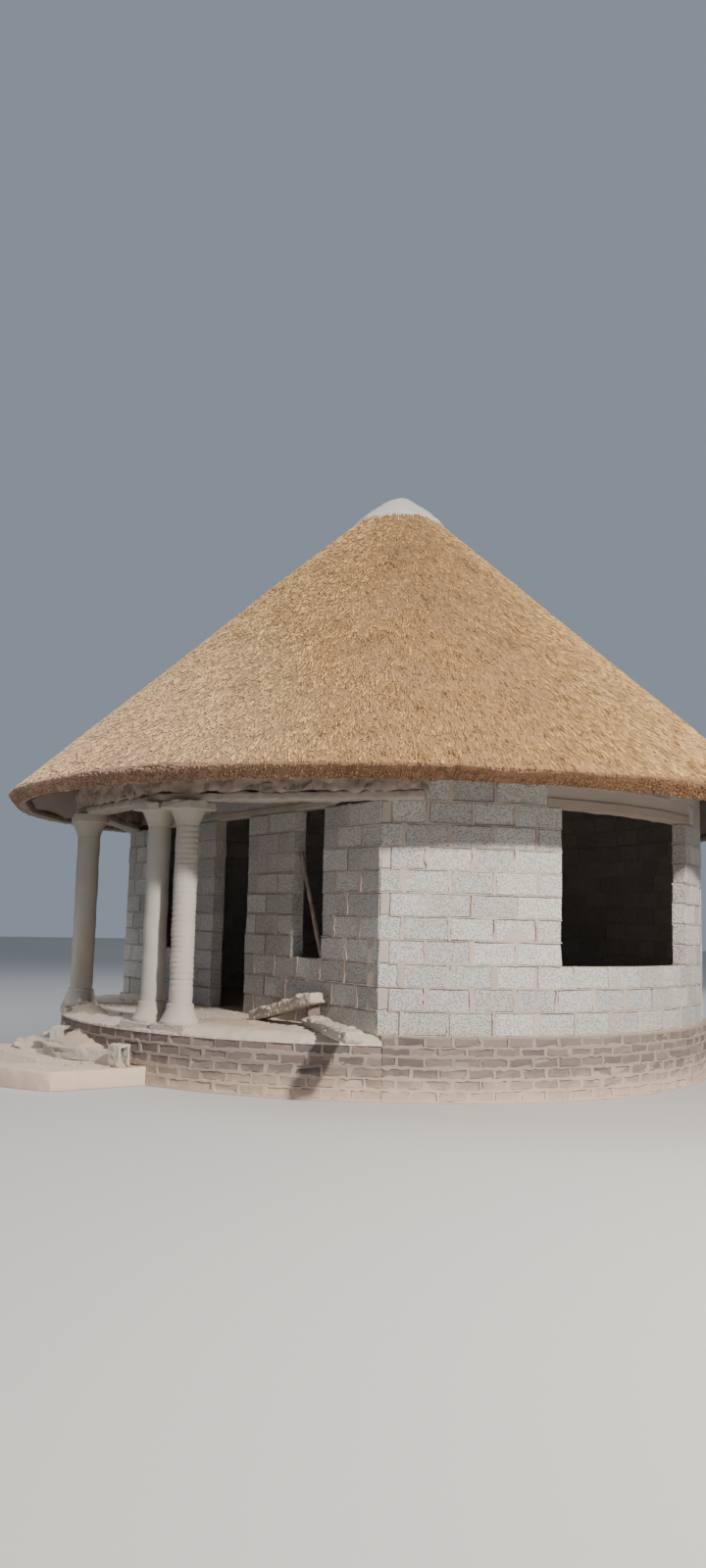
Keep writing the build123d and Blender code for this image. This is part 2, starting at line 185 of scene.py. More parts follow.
class Shape:
    """Points, and faces of four or three points with a tone each, gathered for one mesh."""

    def __init__(self):
        self.points = []
        self.faces = {4: [], 3: []}
        self.tones = {4: [], 3: []}
        self.count = 0

    def add(self, points):
        """Adds points and gives the number of the first."""
        points = np.reshape(points, (-1, 3))
        self.points.append(points)
        self.count += len(points)
        return self.count - len(points)

    def join(self, faces, tone=0.5):
        """Adds faces over numbered points, with one tone or one for each face."""
        faces = np.asarray(faces)
        corners = faces.shape[1]
        self.faces[corners].append(faces)
        self.tones[corners].append(np.broadcast_to(tone, len(faces)))

    def repeat(self, points, templates, tones):
        """The same faces on each group of points, with a tone for each group."""
        start = self.add(points) + np.arange(len(points))[:, None, None] * points.shape[1]
        for faces in map(np.asarray, templates):
            self.join((faces + start).reshape(-1, faces.shape[1]), np.repeat(tones, len(faces)))

    def grid(self, points, wrap_rows=False, wrap_columns=False, tone=0.5, flip=False):
        """Surface over rows and columns of points, whose numbers it gives."""
        numbers = self.add(points) + np.arange(points[..., 0].size).reshape(points.shape[:2])
        index = numbers
        if wrap_rows:
            index = np.concatenate([index, index[:1]], 0)
        if wrap_columns:
            index = np.concatenate([index, index[:, :1]], 1)
        quads = np.stack([index[:-1, :-1], index[:-1, 1:], index[1:, 1:], index[1:, :-1]], -1).reshape(-1, 4)
        self.join(quads[:, ::-1] if flip else quads, tone)
        return numbers

    def close(self, ring, flip=False, tone=0.5):
        """Closes an open end of a grid with a fan over a ring of its points."""
        fan = np.array([[ring[0], b, c] for b, c in zip(ring[1:], ring[2:])])
        self.join(fan[:, ::-1] if flip else fan, tone)

    def closed(self, rings, tone=0.5):
        """Surface over rings of points, with a fan over the first and the last."""
        numbers = self.grid(np.array(rings), wrap_columns=True, tone=tone)
        self.close(numbers[0], True, tone)
        self.close(numbers[-1], False, tone)

    def tube(self, rings, tone=0.5):
        """Surface round a run of four-point rings, with a face at both ends."""
        numbers = self.grid(rings, wrap_columns=True, tone=tone)
        self.join([numbers[0, ::-1], numbers[-1]])


def add_object(name, data):
    made = bpy.data.objects.new(name, data)
    bpy.context.scene.collection.objects.link(made)
    return made


def piece(name, shape, material, replaced=(), smooth=None):
    """Makes a mesh object that rides on the hut and stands for the CAD nodes it replaces."""
    parts = shape.faces[4] + shape.faces[3]
    tones = np.concatenate(shape.tones[4] + shape.tones[3])
    mesh = bpy.data.meshes.new(name)
    faces = [face for part in parts for face in part.tolist()]
    mesh.from_pydata(np.concatenate(shape.points).tolist(), [], faces)
    tone = mesh.attributes.new("tone", "FLOAT", "FACE")
    tone.data.foreach_set("value", tones.astype(np.float32))
    mesh.polygons.foreach_set("use_smooth", np.full(len(mesh.polygons), smooth is not None))
    if smooth is not None:
        mesh.set_sharp_from_angle(angle=np.radians(smooth))
    mesh.materials.append(material)
    made = add_object(name, mesh)
    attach(made, "root")
    if replaced:
        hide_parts(*replaced)
    return made


def wave(points, size, seed=0.0):
    """Smooth noise between about -0.5 and 0.5, with features of the given size."""
    flat = np.asarray(points, float).reshape(-1, 3) / size + seed
    values = np.array([noise.noise(Vector(p)) for p in flat])
    return values.reshape(np.shape(points)[:-1])


def box_template():
    """Corner signs, face axes and faces of a box with chamfered edges."""
    signs = np.repeat(list(product((-1, 1), repeat=3)), 3, axis=0)
    axes = np.tile(np.arange(3), 8)
    points = signs / (1 - np.eye(3)[axes] * 0.5)

    def find(axis, corner, face_axis):
        """Index of a point at a corner whose signs are given from an axis on."""
        positive = np.roll(corner, axis) > 0
        return int(positive @ (4, 2, 1)) * 3 + face_axis % 3

    def turned_out(face):
        corners = points[face]
        normal = np.cross(corners[1] - corners[0], corners[2] - corners[0])
        return face if normal @ corners.mean(0) > 0 else face[::-1]

    quads = []
    for axis, side in product(range(3), (-1, 1)):
        square = ((-1, -1), (1, -1), (1, 1), (-1, 1))
        quads.append(turned_out([find(axis, (side, b, c), axis) for b, c in square]))
    for axis, b, c in product(range(3), (-1, 1), (-1, 1)):
        strip = ((-1, 1), (-1, 2), (1, 2), (1, 1))
        quads.append(turned_out([find(axis, (side, b, c), axis + turn) for side, turn in strip]))
    tris = [turned_out([corner * 3 + axis for axis in range(3)]) for corner in range(8)]
    return signs, axes, np.array(quads), np.array(tris)


BOX_SIGNS, BOX_AXES, BOX_QUADS, BOX_TRIS = box_template()


class Boxes:
    """Chamfered boxes with worn edges: bricks, blocks and lumps of them."""

    def __init__(self, seed):
        self.random = np.random.default_rng(seed)
        self.centres = []
        self.frames = []
        self.halves = []

    def add(self, centre, axes, half):
        self.centres.append(centre)
        self.frames.append(axes)
        self.halves.append(half)

    def between(self, p, q, low, high, depth, proud):
        """Upright box with its outer face from p to q in plan, seen with the outside on the right."""
        run = np.asarray(q) - np.asarray(p)
        length = np.linalg.norm(run)
        along = run / length
        out = np.array([along[1], -along[0]])
        middle = (np.asarray(p) + np.asarray(q)) / 2 + out * (proud - depth / 2)
        axes = [[along[0], along[1], 0], [out[0], out[1], 0], [0, 0, 1]]
        self.add([middle[0], middle[1], (low + high) / 2], axes, [length / 2, depth / 2, (high - low) / 2])

    def fill(self, shape, chamfer, jitter, chip=0.0, chip_share=0.0, tilt=0.0):
        count = len(self.centres)
        frames = np.array(self.frames, float)
        halves = np.array(self.halves, float)[:, None, :]
        inset = 1 - np.eye(3)[BOX_AXES]
        local = BOX_SIGNS[None] * (halves - chamfer * inset[None])
        local = local + self.random.normal(0, jitter, local.shape)
        corners = self.random.random((count, 8)) < chip_share
        pull = np.repeat(corners, 3, axis=1)[..., None] * self.random.uniform(0.3, 1, (count, 24, 1)) * chip
        local = local - BOX_SIGNS[None] * pull
        spin = self.random.normal(0, tilt, (count, 1))
        roll = self.random.normal(0, tilt * 1.5, (count, 1))
        local[:, :, 1] += spin * local[:, :, 0]
        local[:, :, 2] += roll * local[:, :, 0]
        points = np.einsum("nkj,nji->nki", local, frames) + np.array(self.centres)[:, None, :]
        shape.repeat(points, (BOX_QUADS, BOX_TRIS), self.random.random(count))

    def finish(self, name, material, wear):
        """Makes one piece of all the boxes."""
        shape = Shape()
        self.fill(shape, *wear)
        piece(name, shape, material)


def ribbon(shape, points, out, width, height, sink, random):
    """Strip of mortar along a line: a low closed ridge whose edges sink below the face."""
    points = np.asarray(points, float)
    out = np.asarray(out, float)
    count = len(points)
    run = np.gradient(points, axis=0)
    side = np.cross(run, out)
    side = side / np.linalg.norm(side, axis=1, keepdims=True)
    drift = np.zeros((count, 1))
    for i in range(1, count):
        drift[i] = 0.8 * drift[i - 1] + random.normal(0, 0.17)
    wide = width * random.uniform(0.7, 1.2, (count, 1)) * np.exp(drift)
    lean = width * random.uniform(-0.2, 0.2, (count, 1))
    crest = height * random.uniform(0.1, 1.0, (count, 1))
    left = points + side * (lean - wide / 2) - out * sink
    right = points + side * (lean + wide / 2) - out * sink
    left_top = points + side * (lean - wide * 0.36) + out * crest
    right_top = points + side * (lean + wide * 0.36) + out * crest
    rings = np.stack([left, left_top, right_top, right], 1)
    rings[..., 2] = np.maximum(rings[..., 2], 0.0)
    shape.tube(rings, random.random())


class Path:
    """A line in plan that courses follow, with its outside on the right."""

    def __init__(self, points):
        self.points = np.array(points)
        steps = np.linalg.norm(np.diff(self.points, axis=0), axis=1)
        self.along = np.concatenate([[0], np.cumsum(steps)])
        self.length = self.along[-1]

    def at(self, s):
        return np.stack([np.interp(s, self.along, self.points[:, axis]) for axis in (0, 1)], -1)

    def out(self, s):
        step = 0.02
        run = self.at(np.minimum(s + step, self.length)) - self.at(np.maximum(np.asarray(s) - step, 0))
        run = run / np.linalg.norm(run, axis=-1, keepdims=True)
        return np.stack([run[..., 1], -run[..., 0]], -1)


def arc_path(radius, start, end):
    """Path along a circle about the hut's axis."""
    return Path(polar(radius, np.linspace(start, end, int((end - start) * 2) + 2)))


def split_run(start, end, module, first):
    """Joint places along a run of units, with no sliver at the far end."""
    places = [start]
    place = start + first
    while place < end - 0.3 * module:
        places.append(place)
        place += module
    places.append(end)
    return places


def bed_joint(shape, path, start, end, level, look, random, proud=0.0):
    """Mortar in the bed under a course."""
    bed = np.linspace(start, end, max(3, int((end - start) / look["step"])))
    line = raised(path.at(bed) + path.out(bed) * proud, level)
    ribbon(shape, line, raised(path.out(bed), 0.0), look["bed"], look["height"], look["sink"], random)


def lay_course(path, runs, low, high, first, boxes, mortar, look):
    """One course of units on a path, with mortar in its upright joints and under it."""
    joint = look["joint"]
    proud = look["proud"]
    for start, end in runs:
        places = split_run(start, end, look["module"], first)
        for a, b in zip(places, places[1:]):
            slack = boxes.random.uniform(-0.3, 0.3) * joint
            p = a + joint / 2 if a > start else a
            q = b - joint / 2 + slack if b < end else b
            shift = boxes.random.normal(0, look["shift"])
            boxes.between(path.at(p), path.at(q), low, high, look["depth"], proud + shift)
        for a in places[1:-1]:
            if boxes.random.random() < look["open_share"]:
                continue
            levels = np.arange(low - 0.004, high + 0.01, look["step"])
            spot = path.at(a) + path.out(a) * proud
            line = raised(np.tile(spot, (len(levels), 1)), levels)
            out = np.tile([*path.out(a), 0], (len(levels), 1))
            wide = look["upright"] * boxes.random.uniform(0.7, 1.4)
            ribbon(mortar, line, out, wide, look["height"], look["sink"], boxes.random)
        bed_joint(mortar, path, start, end, low - look["bed_drop"], look, boxes.random, proud)


def wall_core(shape, outside, inside, low, high):
    """Closed wall between two plan lines and two levels."""
    lines = ((outside, low), (outside, high), (inside, high), (inside, low))
    shape.tube(np.stack([raised(line, level) for line, level in lines], 1))


def ring_core(shape, outer, inner, start, end, low, high, inner_start=None, inner_end=None):
    """Closed part of a round wall, whose inner face may end at other azimuths."""
    count = int((end - start) / 1.5) + 2
    inner_start = start if inner_start is None else inner_start
    inner_end = end if inner_end is None else inner_end
    outside = polar(outer, np.linspace(start, end, count))
    inside = polar(inner, np.linspace(inner_start, inner_end, count))
    wall_core(shape, outside, inside, low, high)


def vertex_values(mesh, name):
    values = np.zeros(len(mesh.vertices) * 3)
    mesh.vertices.foreach_get(name, values)
    return values.reshape(-1, 3)


def worn_copy(name, sources, voxel, bumps, material, seed=1.0, smooth=50, tone=0.5, swell=0.0):
    """Stands for CAD nodes with a copy whose edges are worn round and whose faces are uneven."""
    gathered = bmesh.new()
    for label in sources:
        gathered.from_mesh(nodes[label].data)
    bmesh.ops.remove_doubles(gathered, verts=gathered.verts, dist=0.00001)
    mesh = bpy.data.meshes.new(name + "_rough")
    gathered.to_mesh(mesh)
    gathered.free()
    rough = add_object(name + "_rough", mesh)
    remesh = rough.modifiers.new("even faces", "REMESH")
    remesh.mode = "VOXEL"
    remesh.voxel_size = voxel
    bpy.context.view_layer.update()
    found = bpy.data.meshes.new_from_object(rough.evaluated_get(bpy.context.evaluated_depsgraph_get()))
    points = vertex_values(found, "co")
    push = np.full(len(points), swell)
    for size, amount in bumps:
        push += wave(points, size, seed) * amount
    points = points + vertex_values(found, "normal") * push[:, None]
    shape = Shape()
    shape.add(points)
    for sides in (4, 3):
        faces = [face.vertices[:] for face in found.polygons if len(face.vertices) == sides]
        if faces:
            shape.join(faces, tone)
    bpy.data.objects.remove(rough)
    bpy.data.meshes.remove(mesh)
    bpy.data.meshes.remove(found)
    return piece(name, shape, material, sources, smooth)


def heap(shape, centre, radii, turn, height, base, seed, power):
    """Low mound of sand or mortar with an uneven outline, closed underneath."""
    angle = np.linspace(0, 2 * np.pi, 36, endpoint=False)
    cos_t, sin_t = np.cos(np.radians(turn)), np.sin(np.radians(turn))
    rows = []
    for t in np.linspace(0, 0.96, 9):
        reach = min(1 - t, 0.97)
        x = np.cos(angle) * radii[0] * reach
        y = np.sin(angle) * radii[1] * reach
        plan = np.column_stack([centre[0] + x * cos_t - y * sin_t, centre[1] + x * sin_t + y * cos_t])
        flat = raised(plan, seed)
        spread = 1 + 0.3 * wave(flat, 0.12) * (1 - t)
        plan = np.array(centre) + (plan - centre) * spread[:, None]
        level = base + height * (1 - reach**power) + wave(flat, 0.05) * 0.2 * height * (t > 0)
        rows.append(raised(plan, level - 0.05 * (t == 0)))
    shape.closed(rows, 0.6)


def rock(shape, place, size, random):
    """Broken lump of block or mortar with flat faces, sitting on a level."""
    made = bmesh.new()
    bmesh.ops.create_icosphere(made, subdivisions=2, radius=1.0)
    points = np.array([v.co[:] for v in made.verts])
    tris = np.array([[v.index for v in face.verts] for face in made.faces])
    made.free()
    for _ in range(7):
        normal = random.normal(0, 1, 3)
        normal = normal / np.linalg.norm(normal)
        over = np.maximum(points @ normal - random.uniform(0.45, 0.75), 0)
        points = points - over[:, None] * normal
    points = points * np.array(size) / 2 + random.normal(0, 0.02, points.shape) * min(size)
    angle = random.uniform(0, 2 * np.pi)
    turn = np.array([[np.cos(angle), -np.sin(angle), 0], [np.sin(angle), np.cos(angle), 0], [0, 0, 1]])
    points = points @ turn.T
    points[:, 2] -= points[:, 2].min() + 0.006
    shape.join(tris + shape.add(points + np.array(place)), random.uniform(0.1, 1.0))


# Materials

def rgba(colour):
    return (*colour, 1)


class Net:
    """Short calls for the nodes of one tree."""

    def __init__(self, tree):
        self.tree = tree

    def make(self, kind, links, settings=None):
        """New node with its inputs set to values or linked to sockets; gives its outputs."""
        made = self.tree.nodes.new(kind)
        for key, value in (settings or {}).items():
            setattr(made, key, value)
        for key, value in links.items():
            if isinstance(value, bpy.types.NodeSocket):
                self.tree.links.new(value, made.inputs[key])
            else:
                made.inputs[key].default_value = value
        return made.outputs

    def math(self, operation, a, b=0.0, c=0.0, clamp=False):
        settings = {"operation": operation, "use_clamp": clamp}
        return self.make("ShaderNodeMath", {0: a, 1: b, 2: c}, settings)[0]

    def blend(self, mask, a, b, mode="MIX"):
        settings = {"data_type": "RGBA", "blend_type": mode}
        return self.make("ShaderNodeMix", {0: mask, 6: a, 7: b}, settings)[2]

    def place(self):
        return self.make("ShaderNodeTexCoord", {})["Object"]

    def parts(self, vector):
        return self.make("ShaderNodeSeparateXYZ", {0: vector})

    def cloud(self, place, scale, detail, roughness=0.5):
        links = {"Vector": place, "Scale": scale, "Detail": detail, "Roughness": roughness}
        return self.make("ShaderNodeTexNoise", links)["Fac"]

    def contrast(self, value, contrast):
        """A value spread about its middle and held between 0 and 1."""
        spread = self.math("MULTIPLY", self.math("SUBTRACT", value, 0.5), contrast)
        return self.math("ADD", spread, 0.5, clamp=True)

    def group(self, tree, values):
        return self.make("ShaderNodeGroup", values, {"node_tree": tree})


def new_group(name, build, inputs):
    """Node group with inputs and their first values, whose outputs come from build(net, inputs)."""
    tree = bpy.data.node_groups.new(name, "ShaderNodeTree")
    kinds = {True: "NodeSocketFloat", False: "NodeSocketColor"}
    for label, value in inputs.items():
        kind = kinds[isinstance(value, float)]
        tree.interface.new_socket(label, in_out="INPUT", socket_type=kind).default_value = value
    given = tree.nodes.new("NodeGroupInput").outputs
    made = build(Net(tree), given)
    for label in made:
        tree.interface.new_socket(label, in_out="OUTPUT", socket_type=kinds[label != "Colour"])
    result = tree.nodes.new("NodeGroupOutput").inputs
    for label, socket in made.items():
        tree.links.new(socket, result[label])
    return tree


def mottle(net, given):
    """Slow and fine changes between two colours, and a mask of them."""
    scale = net.math("DIVIDE", 1.0, given["Size"])
    mask = net.contrast(net.cloud(net.place(), scale, 6.0, 0.62), given["Contrast"])
    return {"Colour": net.blend(mask, given["Colour A"], given["Colour B"]), "Mask": mask}


def speckle(net, given):
    """Grains and pores, as a mask and a height."""
    scale = net.math("DIVIDE", 1.0, given["Size"])
    place = net.place()
    grain = net.make("ShaderNodeTexVoronoi", {"Vector": place, "Scale": scale})
    near = net.math("SUBTRACT", given["Share"], grain["Distance"])
    mask = net.math("MULTIPLY", near, 4.0, clamp=True)
    hollow = net.math("MULTIPLY", mask, -0.6)
    return {"Mask": mask, "Height": net.math("ADD", net.cloud(place, scale, 3.0), hollow)}


def dust(net, given):
    """Dust that lies on upward faces and splashes up from a level."""
    place = net.place()
    normal = net.make("ShaderNodeNewGeometry", {})["Normal"]
    cloud = net.cloud(place, 5.0, 6.0, 0.7)
    rough_level = net.math("MULTIPLY_ADD", cloud, 0.3, -0.15)
    height = net.math("ADD", net.parts(place)["Z"], rough_level)
    below = net.math("SUBTRACT", given["Level"], height)
    splash = net.math("DIVIDE", below, given["Fade"], clamp=True)
    up = net.math("MULTIPLY", net.math("SUBTRACT", net.parts(normal)["Z"], 0.35), 2.0, clamp=True)
    patchy = net.math("MULTIPLY_ADD", cloud, 2.4, -0.5, clamp=True)
    lying = net.math("MULTIPLY", net.math("MULTIPLY", up, given["Lying"]), patchy)
    mask = net.math("MAXIMUM", splash, lying)
    return {"Colour": net.blend(mask, given["Colour"], given["Dust"]), "Mask": mask}


def unit_tone(net, given):
    """Each unit's own colour between two, from the tone that its mesh holds."""
    held = net.make("ShaderNodeAttribute", {}, {"attribute_name": "tone"})["Fac"]
    return {"Colour": net.blend(held, given["Dark"], given["Light"]), "Mask": held}


def straw_streaks(net, given):
    """Straws that run down the roof's slope, as a mask and a height."""
    parts = net.parts(net.place())
    round_the_roof = net.math("MULTIPLY", net.math("ARCTAN2", parts["X"], parts["Y"]), 3.0)
    across = net.math("DIVIDE", round_the_roof, given["Width"])
    down = net.math("DIVIDE", parts["Z"], given["Length"])
    place = net.make("ShaderNodeCombineXYZ", {0: across, 1: down})[0]
    streaks = net.cloud(place, 1.0, 3.0, 0.7)
    return {"Mask": net.contrast(streaks, 3.0), "Height": streaks}


WHITE = (1, 1, 1, 1)
BLACK = (0, 0, 0, 1)
SAND_COLOUR = (0.56, 0.43, 0.34, 1)
# Painted sheen: a pale tint screened onto the side of the thatch that faces the direction below, standing in
# for light falling there.
PAINTED_SHEEN_TINT = (0.42, 0.3, 0.24, 1)
PAINTED_SHEEN_SIDE = (-0.35, -0.94, 0.0)
MOTTLE = new_group("Mottle", mottle, {"Colour A": WHITE, "Colour B": BLACK, "Size": 0.3, "Contrast": 2.0})
SPECKLE = new_group("Grains and pores", speckle, {"Size": 0.006, "Share": 0.4})
DUST = new_group("Dust", dust, {"Colour": WHITE, "Dust": SAND_COLOUR, "Level": 0.2, "Fade": 0.2, "Lying": 0.6})
TONE = new_group("Unit tone", unit_tone, {"Dark": BLACK, "Light": WHITE})
STRAW = new_group("Straws down the slope", straw_streaks, {"Width": 0.006, "Length": 0.08})


def new_material(name, roughness):
    """Material with a plain shader, and its node tree and shader inputs."""
    made = bpy.data.materials.new(name)
    made.use_nodes = True
    shader = made.node_tree.nodes["Principled BSDF"].inputs
    shader["Roughness"].default_value = roughness
    return made, made.node_tree, shader


def finish_material(name, roughness, make):
    """Material whose colour and bump height come from make(net); the shader stays here."""
    made, tree, shader = new_material(name, roughness)
    net = Net(tree)
    colour, height, strength, distance = make(net)
    bump = net.make("ShaderNodeBump", {"Height": height, "Strength": strength, "Distance": distance})
    shader["Specular IOR Level"].default_value = 0.25
    tree.links.new(colour, shader["Base Color"])
    tree.links.new(bump["Normal"], shader["Normal"])
    return made


def masonry(name, dark, light, stain, grain, dust_level, dust_lying=0.6, pore=0.35, stain_size=0.35):
    """Blocks, bricks and concrete: a tone for each unit, stains, pores with painted shade in them, and dust."""

    def make(net):
        unit = net.group(TONE, {"Dark": rgba(dark), "Light": rgba(light)})["Colour"]
        stains = net.group(MOTTLE, {
            "Colour A": unit, "Colour B": rgba(stain), "Size": stain_size, "Contrast": 1.6})
        softer = net.blend(0.55, unit, stains["Colour"])
        pores = net.group(SPECKLE, {"Size": grain, "Share": pore})
        # Painted shade: the pores, which the bump makes hollow, are darkened as if in shadow.
        darker = net.blend(0.45, softer, (0.1, 0.09, 0.08, 1))
        pores_shaded = net.blend(pores["Mask"], softer, darker)
        dusty = net.group(DUST, {
            "Colour": pores_shaded, "Dust": SAND_COLOUR, "Level": dust_level, "Fade": 0.25, "Lying": dust_lying})
        return dusty["Colour"], pores["Height"], 0.7, grain * 0.6

    return finish_material(name, 0.9, make)


def thatch_material(name, dark, light, patch, width, length):
    """Straw with its own tone for each stalk, darker patches, streaks down the slope, and a painted sheen that
    makes one side of the roof paler.
    """

    def make(net):
        unit = net.group(TONE, {"Dark": rgba(dark), "Light": rgba(light)})["Colour"]
        streaks = net.group(STRAW, {"Width": width, "Length": length})
        shaded = net.blend(1.0, unit, (0.62, 0.56, 0.5, 1), "MULTIPLY")
        streaked = net.blend(streaks["Mask"], shaded, unit)
        weathered = net.group(MOTTLE, {"Colour A": BLACK, "Colour B": WHITE, "Size": 0.55, "Contrast": 3.2})
        worn = net.math("MULTIPLY", weathered["Mask"], 0.3)
        patched = net.blend(worn, streaked, rgba(patch))
        # Painted sheen: the thatch on the side facing the given direction is made paler, as if lit.
        towards = net.make("ShaderNodeVectorMath", {0: net.place()}, {"operation": "NORMALIZE"})
        facing = net.make("ShaderNodeVectorMath", {0: towards["Vector"], 1: PAINTED_SHEEN_SIDE},
                          {"operation": "DOT_PRODUCT"})
        share = net.math("MULTIPLY", net.math("SUBTRACT", facing["Value"], 0.3), 1.4, clamp=True)
        painted_sheen = net.blend(0.75, patched, PAINTED_SHEEN_TINT, "SCREEN")
        return net.blend(share, patched, painted_sheen), streaks["Height"], 0.8, 0.006

    return finish_material(name, 0.75, make)


def wood_material(name, dark, light):
    """Bark and split wood with long grain."""

    def make(net):
        grain = net.group(STRAW, {"Width": 0.02, "Length": 0.3})
        bark = net.group(MOTTLE, {
            "Colour A": rgba(dark), "Colour B": rgba(light), "Size": 0.05, "Contrast": 2.2})["Colour"]
        shaded = net.blend(1.0, bark, (0.55, 0.5, 0.46, 1), "MULTIPLY")
        colour = net.blend(grain["Mask"], shaded, bark)
        dusty = net.group(DUST, {"Colour": colour, "Dust": SAND_COLOUR, "Level": -1.0, "Lying": 0.4})
        return dusty["Colour"], grain["Height"], 0.5, 0.003

    return finish_material(name, 0.85, make)


def plain_material(name, colour, roughness):
    made, _, shader = new_material(name, roughness)
    shader["Base Color"].default_value = rgba(colour)
    return made


block_grey = masonry("block grey", (0.38, 0.372, 0.355), (0.58, 0.57, 0.54), (0.45, 0.40, 0.35), 0.018,
                     FLOOR + 0.06, pore=0.5, stain_size=0.14)
block_pale = masonry("broken block", (0.42, 0.39, 0.35), (0.56, 0.52, 0.47), (0.50, 0.42, 0.34), 0.009, -1.0)
mortar_beige = masonry("mortar beige", (0.40, 0.34, 0.29), (0.53, 0.46, 0.40), (0.36, 0.30, 0.26), 0.005,
                       FLOOR + 0.05, pore=0.3)
stock_brick = masonry("stock brick", (0.08, 0.067, 0.066), (0.22, 0.165, 0.145), (0.30, 0.24, 0.205), 0.008,
                      0.26)
brick_mortar = masonry("brick mortar", (0.26, 0.215, 0.18), (0.35, 0.30, 0.25), (0.22, 0.18, 0.15), 0.005, 0.3,
                       pore=0.25)
filling_brown = masonry("rough filling", (0.34, 0.265, 0.22), (0.52, 0.43, 0.36), (0.25, 0.205, 0.175), 0.009,
                        -1.0, 0.3)
concrete = masonry("cast concrete", (0.37, 0.32, 0.28), (0.52, 0.46, 0.405), (0.31, 0.26, 0.215), 0.007,
                   -1.0, 0.5)
plaster = masonry("column plaster", (0.41, 0.385, 0.335), (0.52, 0.485, 0.42), (0.34, 0.31, 0.265), 0.006,
                  FLOOR + 0.15, 0.4, pore=0.24)
broken_concrete = masonry("broken concrete", (0.44, 0.38, 0.33), (0.56, 0.50, 0.44), (0.38, 0.32, 0.27), 0.007,
                          -1.0, 0.5)
filling_bat = masonry("filling brick", (0.22, 0.165, 0.135), (0.40, 0.31, 0.26), (0.30, 0.25, 0.21), 0.007,
                      -1.0, 0.3)
step_grey = masonry("step concrete", (0.42, 0.38, 0.34), (0.52, 0.47, 0.42), (0.48, 0.39, 0.31), 0.006,
                    0.17, 0.9)
loose_sand = masonry("loose sand", (0.50, 0.38, 0.29), (0.62, 0.49, 0.38), (0.44, 0.33, 0.25), 0.006, -1.0, 0.2)
screed = masonry("sandy screed", (0.54, 0.47, 0.40), (0.64, 0.56, 0.48), (0.66, 0.57, 0.49), 0.006, 0.2, 0.5)
step_pink = masonry("step render", (0.72, 0.54, 0.41), (0.78, 0.60, 0.46), (0.60, 0.46, 0.36), 0.005, 0.1, 0.7,
                    pore=0.25)
rubble_pale = masonry("pale rubble", (0.46, 0.41, 0.36), (0.66, 0.61, 0.55), (0.55, 0.44, 0.35), 0.006,
                      -1.0, 0.4)
cap_cement = masonry("cap cement", (0.52, 0.50, 0.47), (0.58, 0.56, 0.53), (0.44, 0.42, 0.39), 0.005, -1.0, 0.1,
                     pore=0.22, stain_size=0.2)
straw_top = thatch_material("thatch straw", (0.16, 0.085, 0.034), (0.88, 0.58, 0.255), (0.34, 0.225, 0.13),
                            0.012, 0.09)
straw_cut = thatch_material("cut straw ends", (0.15, 0.078, 0.044), (0.48, 0.29, 0.165), (0.18, 0.10, 0.06),
                            0.012, 0.015)
# Painted shade: the thatch's underside gets darker, greyer straw colours to stand for the shade under the roof.
painted_shade_straw_under = thatch_material("thatch underside painted shade", (0.14, 0.12, 0.10), (0.32, 0.27, 0.23), (0.12, 0.10, 0.09),
                              0.012, 0.2)
lath_wood = wood_material("lath wood", (0.12, 0.085, 0.06), (0.24, 0.17, 0.12))
pole_wood = wood_material("pole wood", (0.16, 0.11, 0.075), (0.30, 0.22, 0.15))
pole_pale = wood_material("split pole", (0.28, 0.23, 0.19), (0.46, 0.39, 0.33))


# Round wall

def course_levels(course):
    low = FLOOR + COURSE * course + BLOCK_BED
    return low, low + BLOCK_HEIGHT


def first_joint(look, row, inset=0.0):
    """Place of the first joint, which moves half a unit from row to row."""
    return look["module"] - inset if row % 2 else look["module"] / 2


def azimuth_at(radius, y):
    """Azimuth where a circle about the hut's axis crosses a line y."""
    return np.degrees(np.arccos(-y / radius))


